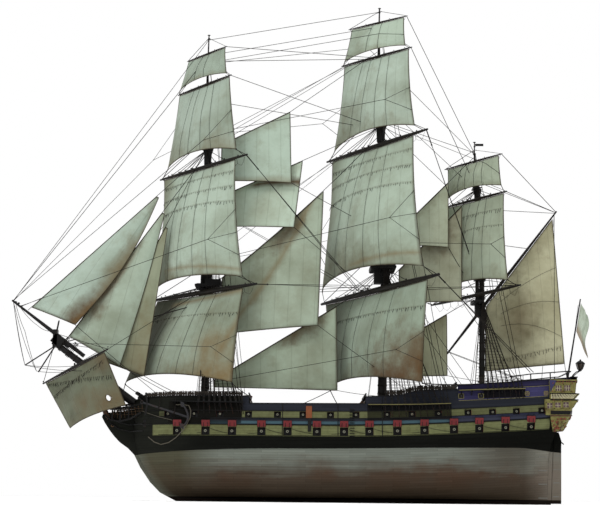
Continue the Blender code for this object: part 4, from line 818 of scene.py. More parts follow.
# Sails bent to yards; clew holds the shares of the yard below that the far and the near corner reach.
squareSails = {
    "fore_royal_sail": {"head": "foreRoyal", "foot": "foreTopgallant", "spread": 0.92, "clew": (0.88, 0.86), "lift": 9,
                        "belly": 16, "arch": 8, "hollow": 2},
    "fore_topgallant_sail": {"head": "foreTopgallant", "foot": "foreTopsail", "spread": 0.93, "clew": (0.78, 0.80),
                             "lift": 22, "belly": 30, "arch": 18, "hollow": 4},
    "fore_topsail_sail": {"head": "foreTopsail", "foot": "foreCourse", "spread": 0.82, "shift": -0.08, "clew": (0.86, 0.79),
                          "lift": 25, "belly": 52, "arch": 15, "hollow": 12},
    "main_royal_sail": {"head": "mainRoyal", "foot": "mainTopgallant", "spread": 0.88, "clew": (0.88, 0.84), "lift": 9,
                        "belly": 16, "arch": 8, "hollow": 2},
    "main_topgallant_sail": {"head": "mainTopgallant", "foot": "mainTopsail", "spread": 0.91, "clew": (0.8, 0.8),
                             "lift": 20, "belly": 32, "arch": 20, "hollow": 6},
    "main_topsail_sail": {"head": "mainTopsail", "foot": "mainCourse", "spread": 0.81, "shift": -0.07, "clew": (0.93, 0.81),
                          "lift": 31, "belly": 62, "arch": 25, "hollow": 12},
    "mizzen_topgallant_sail": {"head": "mizzenTopgallant", "foot": "mizzenTopsail", "spread": 0.88, "clew": (0.85, 0.87),
                               "lift": 20, "belly": 20, "arch": 12, "hollow": 2},
    "mizzen_topsail_sail": {"head": "mizzenTopsail", "foot": "crossjack", "spread": 0.9, "clew": (0.76, 0.78), "lift": 20,
                            "belly": 28, "arch": 18, "hollow": 6},
    "fore_course_sail": {"head": "foreCourse", "spread": 0.82, "shift": -0.06, "near": (-362, -150, 318), "far": (-690, 150, 337), "arch": 22,
                         "belly": 46, "hollow": 4},
    "main_course_sail": {"head": "mainCourse", "spread": 0.87, "shift": -0.04, "near": (146, -212, 318), "far": (-88, 208, 330), "arch": 22,
                         "belly": 50, "hollow": 4},
}
browns = {"tan": (106, 88, 56), "brown": (78, 58, 38), "rust": (88, 68, 42), "grey": (58, 59, 46), "olive": (92, 90, 68)}
# Looks of the cloth: its lit and its shaded colour, set per sail to the light it gets, so painted light and shade; the
# width of a cloth, reef bands, and dirt. Stains are real dirt and painted shadows from the sails beside; a stain has
# its middle, reach and strength;
# a veil darkens towards one edge; a side shade is painted shade towards one side; a shade band is painted shade along a
# fold.
sailLooks = {
    "fore_royal_sail": {"lit": (134, 147, 133), "shade": (98, 106, 92), "cloth": 30,
                        "stainsAndShadows": [(0.1, 1.0, 0.6, 0.5, browns["olive"])]},
    "fore_topgallant_sail": {"lit": (145, 158, 145), "shade": (112, 120, 104), "cloth": 34,
                             "stainsAndShadows": [(0.1, 0.95, 0.55, 0.65, browns["olive"]), (0.9, 1.0, 0.3, 0.4, browns["tan"])]},
    "fore_topsail_sail": {"lit": (155, 169, 154), "shade": (124, 133, 116), "reefs": (0.09, 0.22, 0.35), "cloth": 42,
                          "stainsAndShadows": [(0.36, 1.0, 0.2, 0.7, browns["olive"]), (0.08, 1.0, 0.5, 0.8, browns["olive"])],
                          "sideShades": [(0.2, 0.0, 0.75, browns["olive"])], "shadeBands": [(0.2, 0.9, 0.98, 0.94, 0.03, 0.5, browns["tan"])]},
    "fore_course_sail": {"lit": (138, 150, 134), "shade": (104, 109, 90), "reefs": (0.26,), "cloth": 46,
                         "stainsAndShadows": [(0.98, 0.95, 0.46, 0.85, browns["tan"]), (0.84, 0.62, 0.22, 0.6, browns["tan"])],
                         "sideShades": [(0.42, 0.24, 0.95, browns["grey"])],
                         "shadeBands": [(0.2, 0.09, 0.9, 0.02, 0.06, 0.7, browns["tan"]), (0.8, 1.05, 1.0, 0.35, 0.16, 0.6, browns["tan"])]},
    "main_royal_sail": {"lit": (154, 168, 152), "shade": (118, 126, 110), "cloth": 30,
                        "stainsAndShadows": [(0.1, 1.0, 0.5, 0.4, browns["olive"])]},
    "main_topgallant_sail": {"lit": (156, 170, 156), "shade": (120, 128, 112), "cloth": 36,
                             "stainsAndShadows": [(0.12, 0.92, 0.5, 0.7, browns["olive"])]},
    "main_topsail_sail": {"lit": (154, 168, 152), "shade": (120, 128, 110), "reefs": (0.095, 0.22, 0.36), "cloth": 46,
                          "stainsAndShadows": [(0.5, 1.0, 0.28, 0.7, browns["olive"]), (0.2, 0.9, 0.3, 0.5, browns["olive"])],
                          "sideShades": [(0.24, -0.02, 0.75, browns["olive"])], "shadeBands": [(0.4, 0.97, 1.0, 0.9, 0.03, 0.5, browns["tan"])]},
    "main_course_sail": {"lit": (138, 152, 135), "shade": (106, 112, 94), "reefs": (0.25,), "cloth": 48,
                         "stainsAndShadows": [(1.0, 0.86, 0.5, 1.0, browns["brown"]), (0.84, 1.0, 0.3, 0.9, browns["brown"]),
                                    (0.95, 0.75, 0.3, 0.6, browns["rust"])],
                         "sideShades": [(0.42, 0.16, 0.7, browns["grey"])]},
    "mizzen_topgallant_sail": {"lit": (150, 160, 141), "shade": (116, 122, 102), "cloth": 28,
                               "stainsAndShadows": [(0.1, 1.0, 0.5, 0.5, browns["olive"])]},
    "mizzen_topsail_sail": {"lit": (150, 160, 141), "shade": (118, 124, 104), "reefs": (0.17, 0.36), "cloth": 34,
                            "stainsAndShadows": [(0.1, 1.0, 0.5, 0.7, browns["olive"])]},
    "spritsail": {"lit": (97, 102, 84), "shade": (65, 64, 48), "cloth": 52, "holes": [(0.842, 0.8, 0.028, 0.062)],
                  "slants": [(0.0, 0.02, 1.0, 0.43), (0.02, 0.3, 0.97, 0.1)],
                  "stainsAndShadows": [(0.86, 0.85, 0.4, 0.85, browns["rust"]), (0.5, 0.7, 0.3, 0.6, browns["rust"]),
                             (0.2, 0.2, 0.5, 0.5, browns["grey"]), (0.95, 0.1, 0.3, 0.5, browns["rust"])]},
    "jib": {"lit": (153, 168, 155), "shade": (119, 128, 112), "cloth": 44, "seams": "leech",
            "stainsAndShadows": [(0.98, 0.04, 0.42, 1.0, browns["brown"]), (0.9, 0.5, 0.3, 0.6, browns["tan"])],
            "sideShades": [(0.84, 1.0, 0.5, browns["tan"])]},
    "fore_topmast_staysail": {"lit": (154, 168, 152), "shade": (118, 126, 108), "cloth": 40, "seams": "leech",
                              "stainsAndShadows": [(0.0, 0.34, 0.34, 0.95, browns["brown"]), (0.08, 0.6, 0.24, 0.8, browns["rust"])]},
    "fore_staysail": {"lit": (132, 138, 116), "shade": (102, 102, 80), "cloth": 40, "seams": "leech",
                      "stainsAndShadows": [(0.9, 0.0, 0.5, 0.6, browns["tan"])]},
    "main_topgallant_staysail": {"lit": (162, 178, 163), "shade": (134, 144, 128), "cloth": 36,
                                 "veils": [(0.12, -0.02, 0.6, browns["tan"])]},
    "middle_staysail": {"lit": (178, 195, 178), "shade": (150, 158, 139), "cloth": 36,
                        "shadeBands": [(0.3, 0.98, 0.95, 0.7, 0.1, 0.95, browns["brown"])], "sideShades": [(0.3, 0.0, 0.4, browns["tan"])]},
    "main_topmast_staysail": {"lit": (152, 164, 146), "shade": (118, 124, 104), "cloth": 44,
                              "stainsAndShadows": [(0.3, 0.62, 0.3, 0.5, browns["olive"]), (0.64, 0.92, 0.2, 0.95, browns["brown"])],
                              "shadeBands": [(0.05, 0.1, 0.95, 1.1, 0.1, 0.55, browns["tan"])]},
    "main_staysail": {"lit": (150, 163, 144), "shade": (115, 120, 101), "cloth": 46,
                      "stainsAndShadows": [(0.72, 1.0, 0.28, 0.9, browns["brown"]), (0.3, 0.2, 0.4, 0.4, browns["olive"])]},
    "mizzen_topgallant_staysail": {"lit": (170, 178, 156), "shade": (140, 142, 119), "cloth": 32},
    "mizzen_topmast_staysail": {"lit": (160, 164, 143), "shade": (123, 123, 99), "cloth": 34,
                                "stainsAndShadows": [(0.6, 0.95, 0.4, 0.85, browns["brown"])]},
    "mizzen_staysail": {"lit": (160, 163, 136), "shade": (125, 124, 99), "cloth": 34},
    "mizzen_lateen_sail": {"lit": (168, 166, 138), "shade": (132, 128, 100), "reefs": (0.12,), "cloth": 40,
                           "stainsAndShadows": [(0.2, 0.3, 0.6, 0.6, browns["grey"]), (0.45, 0.5, 0.3, 0.4, browns["rust"])]},
    "ensign": {"lit": (176, 188, 172), "shade": (138, 146, 128), "cloth": 300,
               "veils": [(0.55, 0.85, 0.7, (138, 116, 98))]},
}


def normalOf(point, u, v):
    a = Vector(point(min(1, u + 0.01), v)) - Vector(point(max(0, u - 0.01), v))
    b = Vector(point(u, min(1, v + 0.01))) - Vector(point(u, max(0, v - 0.01)))
    return a.cross(b).normalized()


# Folds that run from the corners and hang down the cloth, in millimetres.
def creases(u, v, strength=1.0, seed=0.0):
    edge = min(1.0, 8 * min(u, 1 - u, v, 1 - v) + 0.15)
    fold = 0.8 * math.sin(11 * u + 2.3 * math.sin(4 * v + seed) + seed) * math.sin(math.pi * v) ** 0.5
    fold += 0.45 * math.sin(27 * u + 5 * v + 1.7 * seed)
    for cu, cv in ((0, 1), (1, 1), (0, 0), (1, 0)):
        far = math.hypot(u - cu, v - cv)
        turn = math.atan2(v - cv, u - cu)
        fold += 1.5 * math.exp(-far / 0.22) * math.sin(17 * turn + seed)
    return fold * strength * edge


def sailMesh(name, point, columns, rows, look, thick=0.5, held="stretched", rests=()):
    points = [Vector(point(i / columns, j / rows)) for j in range(rows + 1) for i in range(columns + 1)]
    wide = columns + 1
    grid = np.array([tuple(p) for p in points]).reshape(rows + 1, wide, 3)
    across = np.concatenate([np.zeros((rows + 1, 1)), np.cumsum(np.linalg.norm(np.diff(grid, axis=1), axis=2), axis=1)], axis=1)
    downs = np.concatenate([np.zeros((1, wide)), np.cumsum(np.linalg.norm(np.diff(grid, axis=0), axis=2), axis=0)], axis=0)
    middle, breadth = rows // 2, across[:, -1].mean()

    def whole(i, j):
        return all(math.hypot(((i + 0.5) / columns - u) / across, ((j + 0.5) / rows - v) / down) > 1
                   for u, v, across, down in look.get("holes", ()))

    faces = [(j * wide + i, j * wide + i + 1, (j + 1) * wide + i + 1, (j + 1) * wide + i)
             for j in range(rows) for i in range(columns) if whole(i, j)]
    mesh = bpy.data.meshes.new(name)
    mesh.from_pydata([tuple(p * mm) for p in points], [], faces)
    mesh.materials.append(clothFinish(name + "_cloth", look))
    share = mesh.uv_layers.new(name="share")
    cloth = mesh.uv_layers.new(name="cloth")
    leechLow, leechHigh = Vector(point(1, 0)), Vector(point(1, 1))
    leech = Vector((leechHigh.x - leechLow.x, leechHigh.z - leechLow.z)).normalized()
    for loop in mesh.loops:
        j, i = divmod(loop.vertex_index, wide)
        share.data[loop.index].uv = (i / columns, j / rows)
        if look.get("seams") == "leech":
            gone = points[loop.vertex_index] - leechLow
            cloth.data[loop.index].uv = (abs(gone.x * leech.y - gone.z * leech.x) * mm, downs[j, i] * mm)
        else:
            cloth.data[loop.index].uv = (i / columns * breadth * mm, downs[j, middle] * mm)
    for face in mesh.polygons:
        face.use_smooth = True
    area = sum(f.area for f in mesh.polygons)
    piece = bpy.data.objects.new(name + "_canvas", mesh)
    bpy.context.scene.collection.objects.link(piece)
    solid = piece.modifiers.new("cloth", "SOLIDIFY")
    solid.thickness = thick * mm
    solid.offset = 0.0
    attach(piece, "ship")
    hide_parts(name)
    width, length = across[:, -1].max() * mm, downs[-1].max() * mm
    return piece, width, length, area, held, rests


# Bolt rope round the edge, rope round the holes, reef points and buntlines, all sewn on the sail.
def sailRopes(name, point, look, columns=24, rows=20, buntlines=(), radius=1.0):
    work = Shape()
    rim = [point(i / columns, 0) for i in range(columns + 1)] + [point(1, j / rows) for j in range(1, rows + 1)]
    rim += [point(1 - i / columns, 1) for i in range(1, columns + 1)] + [point(0, 1 - j / rows) for j in range(1, rows + 1)]
    work.tube(rim, radius, 5, 0)
    for u, v, wide, high in look.get("holes", ()):
        turns = np.linspace(0, 2 * math.pi, 17)
        work.tube([point(u + math.cos(t) * wide, v + math.sin(t) * high) for t in turns], 1.0, 5, 0)
    for u0, v0, u1, v1 in reefLines(look):
        width = (Vector(point(u1, v1)) - Vector(point(u0, v0))).length
        count = int(width / 8.5)
        for i in range(1, count):
            u = u0 + (u1 - u0) * (i / count + rng.uniform(-0.004, 0.004))
            row = v0 + (v1 - v0) * i / count + rng.uniform(-0.004, 0.004)
            normal = normalOf(point, u, row)
            spot = Vector(point(u, row))
            for face in (-1, 1):
                start = spot + normal * face * 0.9
                lean = rng.uniform(-4.5, 4.5)
                length = rng.uniform(7, 13)
                line = [start, start + normal * face * 0.9 + Vector((lean * 0.4, 0, -length * 0.45)),
                        start + normal * face * 0.6 + Vector((lean, 0, -length))]
                work.tube(line, 0.62, 4, 1)
    for us in buntlines:
        line = [Vector(point(us + (0.5 - us) * 0.12 * (1 - t), t)) + normalOf(point, us, min(0.98, max(0.02, t))) * ropeSide(point, us) * 1.4
                for t in np.linspace(0.0, 1.0, 14)]
        work.tube(line, 0.42, 4, 2)
    made = work.make(name + "_ropework", [boltRope, darkRope, darkRope])
    return made


# The sign that turns a square sail's normal forwards.
def ropeSide(point, u):
    return 1 if normalOf(point, u, 0.5).y < 0 else -1


def squarePoint(name, facts, seed):
    centre, along, ahead = yardFacts(facts["head"])
    half = yards[facts["head"]]["half"]
    if "foot" in facts:
        footYard = yards[facts["foot"]]
        footCentre, footAlong, footAhead = yardFacts(facts["foot"])
        footCentre = footCentre + Vector((0, 0, facts["lift"])) + footAhead * (footYard["radius"] + 1)
        far = footCentre - footAlong * (footYard["half"] * facts["clew"][0])
        near = footCentre + footAlong * (footYard["half"] * facts["clew"][1])
    else:
        far, near = Vector(facts["far"]), Vector(facts["near"])

    def point(u, v):
        side = 2 * u - 1
        share = side * facts["spread"] + facts.get("shift", 0.0)
        head = centre + along * (share * half)
        head.z -= yardRadius(facts["head"], share) + gap + 1.2
        foot = far.lerp(near, u)
        foot.z += facts["arch"] * (1 - side * side)
        across = (1 - side * side) ** 0.75
        down = math.sin(math.pi * 0.6 * v) ** 0.9 if v > 0 else 0.0
        spot = head.lerp(foot, v) + ahead * (facts["belly"] * across * down + creases(u, v, 1.0, seed))
        return spot - along * (side * abs(side) ** 3 * facts["hollow"] * 4 * v * (1 - v))

    return point


stays = {
    "jib_stay": (0, [(-954, 529), (-459.2, 996)], 0, True), "fore_topmast_stay": (-3, [(-841, 446), (-459, 988)], 0, False),
    "fore_inner_stay": (-5.3, [(-763, 368.6), (-458.6, 1006.5)], 0, True),
    "main_topgallant_stay": (0, [(-446.3, 1004), (-214, 1123), (39.3, 1308)], 0, True),
    "main_middle_stay": (0, [(-447.9, 850), (43, 1078)], 0, True),
    "main_topmast_stay": (0, [(-431.6, 606.2), (42.1, 1050)], 17, False),
    "main_stay": (0, [(-434.3, 327.4), (48.2, 627)], 0, False),
    "mizzen_topgallant_stay": (0, [(66.9, 736.4), (318.7, 988.9)], 0, True),
    "mizzen_topmast_stay": (0, [(72, 626), (323.4, 886.8)], 0, False),
    "mizzen_stay": (0, [(69, 431), (317.2, 577.6)], 0, False),
}
headsails = {
    "jib": ("jib_stay", (-944, -598), (-812, -36, 484), 26, 24),
    "fore_topmast_staysail": ("fore_topmast_stay", (-834, -580), (-682, -36, 370), 20, 6),
    "fore_staysail": ("fore_inner_stay", (-752, -570), (-615, -26, 343), 8, 0),
}
staysails = {
    "main_topgallant_staysail": ("main_topgallant_stay", (-414, -216), (-412, -28, 906), (-209, -36, 900), 12),
    "middle_staysail": ("main_middle_stay", (-412, -178), (-410, -26, 772), (-200, -36, 770), 10),
    "main_topmast_staysail": ("main_topmast_stay", (-405, -117), (-403, -20, 464), (-130, -40, 489), 16),
    "main_staysail": ("main_stay", (-420, -78), (-419, -1, 316), (-74, -14, 309), 10),
    "mizzen_topgallant_staysail": ("mizzen_topgallant_stay", (104, 244), (104, -26, 724), (239, -34, 717), 8),
    "mizzen_topmast_staysail": ("mizzen_topmast_stay", (100, 282), (100, -20, 556), (275, -34, 562), 12),
    "mizzen_staysail": ("mizzen_stay", (96, 236), (96, -2, 350), (234, -20, 353), 8),
}


def stayHeight(name, x):
    y, corners, sag, flying = stays[name]
    share = (x - corners[0][0]) / (corners[-1][0] - corners[0][0])
    return float(np.interp(x, [c[0] for c in corners], [c[1] for c in corners])) - 4 * sag * share * (1 - share)


def luffPoint(name, x):
    y, corners, sag, flying = stays[name]
    run = Vector((2, stayHeight(name, x + 1) - stayHeight(name, x - 1))).normalized()
    drop = 1.5
    return Vector((x + run.y * drop, y, stayHeight(name, x) - run.x * drop))


def headsailPoint(facts, seed):
    stay, (first, last), clew, belly, roach = facts
    clew = Vector(clew)
    peak = luffPoint(stay, last) + Vector((5, 0, -3))
    outward = Vector((peak.z - clew.z, 0, clew.x - peak.x)).normalized() * roach

    def point(u, v):
        luff = luffPoint(stay, first + (last - first) * v)
        spot = luff.lerp(clew.lerp(peak, v), u) + outward * (u * math.sin(math.pi * v))
        spot.y -= belly * math.sin(math.pi * u) * math.sin(math.pi * (0.2 + 0.8 * v)) + creases(u, v, 0.9 * (1 - v), seed)
        return spot

    return point


def staysailPoint(facts, seed):
    stay, (first, last), tack, clew, belly = facts
    tack, clew = Vector(tack), Vector(clew)

    def point(u, v):
        foot = tack.lerp(clew, u)
        head = luffPoint(stay, first + (last - first) * u)
        spot = foot.lerp(head, v)
        spot.y -= belly * math.sin(math.pi * u) * math.sin(math.pi * (0.3 + 0.7 * v)) + creases(u, v, 0.8, seed)
        return spot

    return point


lateen = {"low": (238, 12.3, 418), "high": (559, 12.3, 835), "profile": [(0, 2.6), (0.2, 4.2), (0.4, 5.0), (0.7, 4.0), (1, 2.2)],
          "tack": (344, 6, 369), "clew": (566, -10, 391), "throat": 346, "peak": 543, "belly": 22}


def lateenPoint(u, v):
    low, high = Vector(lateen["low"]), Vector(lateen["high"])
    span = high - low
    along = span.normalized()
    share = (lateen["throat"] + (lateen["peak"] - lateen["throat"]) * u - low.x) / span.x
    radius = float(np.interp(share, [p[0] for p in lateen["profile"]], [p[1] for p in lateen["profile"]]))
    head = low + span * share + Vector((along.z, 0, -along.x)) * (radius + gap + 1.2)
    spot = Vector(lateen["tack"]).lerp(Vector(lateen["clew"]), u).lerp(head, v)
    spot.y -= lateen["belly"] * math.sin(math.pi * u) * math.sin(math.pi * (0.15 + 0.85 * v)) + creases(u, v, 0.9, 2.2)
    return spot


sprit = {"near": (-705, -120, 407), "far": (-925, 120, 331), "profile": [(0, 2.2), (0.25, 3.6), (0.5, 4.6), (0.75, 3.6), (1, 2.2)],
         "footNear": (-652, -112, 256), "footFar": (-838, 102, 203), "spread": 0.9, "ahead": (-0.74, -0.67, 0), "belly": 22, "arch": 2}


def spritPoint(u, v):
    near, far = Vector(sprit["near"]), Vector(sprit["far"])
    side = 2 * u - 1
    share = (1 + sprit["spread"] * side) / 2
    radius = float(np.interp(share, [p[0] for p in sprit["profile"]], [p[1] for p in sprit["profile"]]))
    head = far.lerp(near, share)
    head.z -= (radius + gap + 1.2) / math.sqrt(1 - (near - far).normalized().z ** 2)
    foot = Vector(sprit["footFar"]).lerp(Vector(sprit["footNear"]), u)
    foot.z += sprit["arch"] * (1 - side * side)
    bulge = sprit["belly"] * (1 - side * side) * math.sin(math.pi * 0.6 * v) + creases(u, v, 1.2, 4.0)
    return head.lerp(foot, v) + Vector(sprit["ahead"]) * bulge


staff = {"foot": (574.5, 0, 345.9), "head": (618, 0, 577)}
flagFacts = {"hoist": (0.95, 0.6), "flyTop": (637, 0, 530), "flyLow": (629, 0, 407), "wave": 5.0}


def flagPoint(u, v):
    foot, head = Vector(staff["foot"]), Vector(staff["head"])
    top, low = (foot.lerp(head, s) for s in flagFacts["hoist"])
    edge = top.lerp(low, v) + Vector((3.2, 0, 0))
    spot = edge.lerp(Vector(flagFacts["flyTop"]).lerp(Vector(flagFacts["flyLow"]), v), u)
    spot.y += flagFacts["wave"] * math.sin(3 * math.pi * u + 1.2 * v) * u
    spot.x += 5 * math.sin(2.4 * math.pi * v) * u
    return spot


def buildSails():
    work = []
    for n, (name, facts) in enumerate(squareSails.items()):
        point = squarePoint(name, facts, 1.3 * n)
        lines = (0.28, 0.42, 0.6, 0.74) if "royal" not in name else (0.4, 0.6)
        carrier = {"foreCourse": "fore_course_yard", "foreTopsail": "fore_topsail_yard", "foreTopgallant": "fore_topgallant_yard",
                   "foreRoyal": "fore_royal_yard", "mainCourse": "main_course_yard", "mainTopsail": "main_topsail_yard",
                   "mainTopgallant": "main_topgallant_yard", "mainRoyal": "main_royal_yard", "mizzenTopsail": "mizzen_topsail_yard",
                   "mizzenTopgallant": "mizzen_topgallant_yard"}[facts["head"]]
        work.append((name, point, 44, 38, carrier, lines))
    for n, (name, facts) in enumerate(headsails.items()):
        carrier = facts[0] if not stays[facts[0]][3] else "jibboom"
        work.append((name, headsailPoint(facts, 0.7 * n), 30, 34, carrier, ()))
    for n, (name, facts) in enumerate(staysails.items()):
        carrier = facts[0] if not stays[facts[0]][3] else "main_topmast"
        work.append((name, staysailPoint(facts, 0.9 * n), 32, 30, carrier, ()))
    work.append(("mizzen_lateen_sail", lateenPoint, 34, 36, "mizzen_lateen_yard", ()))
    work.append(("spritsail", spritPoint, 72, 60, "spritsail_yard", ()))
    for name, point, columns, rows, carrier, lines in work:
        look = sailLooks[name]
        piece, width, length, area, held, rests = sailMesh(name, point, columns, rows, look)
        ropes = sailRopes(name, point, look, buntlines=lines)
        min(area, width * length)
    piece, width, length, area, held, rests = sailMesh("ensign", flagPoint, 30, 30, sailLooks["ensign"], 0.3)
    min(area, width * length)


buildSails()
print("sails set")


# Stays that carry sails: only the flying ones are drawn here.
def buildStays():
    lines = Shape()
    for name, (y, corners, sag, flying) in stays.items():
        if not flying:
            continue
        xs = np.linspace(corners[0][0], corners[-1][0], 14) if sag else [c[0] for c in corners]
        lines.tube([(x, y, stayHeight(name, x)) for x in xs], 0.8, 6, 0)
    lines.make("flying_stays", [tarRope])


buildStays()
print("stays set")


ropeScale = 2.0


# A rope through its ends; slack lets each part hang.
def rope(work, ends, radius=0.5, slack=0.0, slot=0, sides=4):
    line = []
    for a, b in zip(ends, ends[1:]):
        steps = 8 if slack else 1
        for i in range(steps):
            spot = Vector(a).lerp(Vector(b), i / steps)
            spot.z -= 4 * slack * (i / steps) * (1 - i / steps)
            line.append(spot)
    work.tube(line + [Vector(ends[-1])], radius * ropeScale, sides, slot)


# A rigging block or a deadeye, lying along a rope.
def pulley(work, spot, toward, size=2.6, slot=1):
    run = (Vector(toward) - Vector(spot)).normalized()
    profile = [(0, 0.3), (0.18, 0.62), (0.5, 0.78), (0.82, 0.62), (1, 0.3)]
    work.turned(Vector(spot) - run * size, Vector(spot) + run * size, [(s, r * size) for s, r in profile], 6, slot)


def railSpot(x, side, inside=3.0):
    return onHull(x, railAt(x), side, -inside) + Vector((0, 0, 1.5))


# Channels stand out from the sides and spread the shrouds.
channelFacts = {"wide": 18.0, "thick": 2.6, "lines": {
    "fore": [(-524, 266), (-470, 265.4), (-400, 265), (-329, 264.7)],
    "main": [(6, 261.3), (80, 262), (150, 263.6), (229, 266.6)],
    "mizzen": [(252, 302.8), (310, 305), (370, 307.6), (434, 310.2)],
}}
shroudFacts = {
    "fore": {"feet": (-452, -350, 8), "backs": (-341, -334), "rim": 5, "trees": 3, "hounds": 1290},
    "main": {"feet": (52, 196, 9), "backs": (206, 215, 223), "rim": 5, "trees": 3, "hounds": 1386},
    "mizzen": {"feet": (331, 406, 6), "backs": (416, 426), "rim": 4, "trees": 2, "hounds": 1000},
}


def channelEdge(mast, x, side, out):
    line = channelFacts["lines"][mast]
    z = float(np.interp(x, [p[0] for p in line], [p[1] for p in line]))
    return onHull(x, z, side, out)


def buildChannels():
    work = Shape()
    for mast, line in channelFacts["lines"].items():
        xs = np.linspace(line[0][0], line[-1][0], 24)
        for side in (-1, 1):
            for x, nextX in zip(xs, xs[1:]):
                inner = [channelEdge(mast, x, side, -2), channelEdge(mast, nextX, side, -2)]
                outer = [channelEdge(mast, nextX, side, channelFacts["wide"]), channelEdge(mast, x, side, channelFacts["wide"])]
                low = Vector((0, 0, -channelFacts["thick"] / 2))
                ring = inner + outer
                work.add([p + low for p in ring] + [p - low for p in ring],
                         [(3, 2, 1, 0), (4, 5, 6, 7)] + [(k, (k + 1) % 4, 4 + (k + 1) % 4, 4 + k) for k in range(4)], 0)
            edge = [channelEdge(mast, x, side, channelFacts["wide"] + 0.4) for x in xs]
            work.bar(edge, 1.2, 1.5, 0 if mast == "fore" else 1)
            for x in np.linspace(line[0][0] + 8, line[-1][0] - 8, 7):
                top = channelEdge(mast, x, side, 13) - Vector((0, 0, 1))
                work.bar([top, onHull(x, top.z - 12, side, 0.5)], 2.2, 2.2, 0)
    work.make("channels", [blackPaint, ochrePaint])


# Lower shrouds with deadeyes and chains, topmast and topgallant shrouds, ratlines and backstays.
def buildShrouds():
    work = Shape()
    ladders = Shape()
    for mast, facts in shroudFacts.items():
        shape = masts[mast]
        top = shape["top"]
        rimX = mastAxis(mast, top) - 4
        rimY = shape["lower"] * 3.45
        reach = shape["lower"] * 3.0 * shape["aft"]
        for side in (-1, 1):
            lower = []
            spread = list(np.linspace(*facts["feet"][:2], facts["feet"][2]))
            for i, x in enumerate(spread + list(facts["backs"])):
                seat = channelEdge(mast, x, side, channelFacts["wide"])
                stay = i >= len(spread)
                if stay:
                    n = i - len(spread)
                    z = shape["crosstrees"] - 7 if n < len(facts["backs"]) - 1 else facts["hounds"]
                    head = mastPoint(mast, z, "topmast" if z < shape["topcap"] else "pole") + Vector((2, side * 4, 0))
                else:
                    head = mastPoint(mast, top - 7) + Vector((-4 + 8 * i / len(spread), side * shape["lower"] * 0.7, 0))
                run = (head - seat).normalized()
                size = 3.3 if mast != "mizzen" else 2.5
                size = size * 0.72 if stay else size
                for lift in (3.4, 17.5):
                    middle = seat + run * lift
                    across = Vector((0, side, 0))
                    work.turned(middle - across * 1.3, middle + across * 1.3, [(0, size * 0.8), (0.3, size), (0.7, size), (1, size * 0.8)],
                                8, 1)
                for shift in (-0.5, 0.0, 0.5):
                    swing = Vector((shift * size * 1.4, 0, 0))
                    rope(work, [seat + run * 5 + swing, seat + run * 16 + swing], 0.35, slot=2, sides=3)
                drop = 32 if mast != "mizzen" else 26
                chain = onHull(x - run.x * drop, seat.z - drop, side, 0.5)
                work.bar([seat - Vector((0, 0, 1)), chain], 1.3, 1.0, 3)
                foot = seat + run * 17.5
                rope(work, [foot, head], 0.5 if stay else 0.75, slot=0)
                if not stay:
                    lower.append((foot, head))
            low, high = max(p[0].z for p in lower) + 9, top - 26
            for z in np.arange(low, high, 8.2):
                spots = [a.lerp(b, (z - a.z) / (b.z - a.z)) for a, b in lower]
                ladders.tube(spots, 0.5, 3, 0)
            # sheer pole over the deadeyes
            ladders.tube([a.lerp(b, 0.012) for a, b in lower], 0.6, 4, 1)
            upper = []
            headZ = shape["crosstrees"] - 8
            for i in range(facts["rim"]):
                share = i / (facts["rim"] - 1)
                foot = Vector((rimX + 4 - shape["lower"] * 0.4 + (reach * 0.86 + 2) * share, side * rimY, top + 2.6))
                head = mastPoint(mast, headZ, "topmast") + Vector((-2 + 4 * share, side * shape["topmast"] * 0.75, 0))
                run = (head - foot).normalized()
                for lift in (2.0, 11.0):
                    middle = foot + run * lift
                    across = Vector((0, side, 0))
                    work.turned(middle - across, middle + across, [(0, 1.7), (0.5, 2.2), (1, 1.7)], 8, 1)
                rope(work, [foot, foot + run * 11], 0.4, slot=2, sides=3)
                rope(work, [foot + run * 11, head], 0.55)
                upper.append((foot + run * 13, head))
                # futtock shroud down to the lower shrouds
                a, b = lower[min(len(lower) - 1, 1 + i)]
                z = top - 48 * shape["lower"] / 13
                rope(work, [foot - Vector((0, 0, 7)), a.lerp(b, (z - a.z) / (b.z - a.z))], 0.55)
            for z in np.arange(top + 22, headZ - 16, 8.2):
                ladders.tube([a.lerp(b, (z - a.z) / (b.z - a.z)) for a, b in upper], 0.45, 3, 0)
            treesY = shape["topmast"] * 2.3 * 1.42
            for i in range(facts["trees"]):
                foot = mastPoint(mast, shape["crosstrees"] - 4, "topmast") + Vector((3 * i - 3, side * treesY, 0))
                head = mastPoint(mast, facts["hounds"], "pole") + Vector((0, side * 2, 0))
                rope(work, [foot, head], 0.42)
                low = mastPoint(mast, shape["crosstrees"] - 40, "topmast") + Vector((0, side * shape["topmast"] * 1.4, 0))
                rope(work, [foot, low], 0.42)
    work.make("shrouds", [tarRope, blackPaint, darkRope, ironWork])
    ladders.make("ratlines", [darkRope, tarRope])


buildChannels()
buildShrouds()
print("shrouds set up")


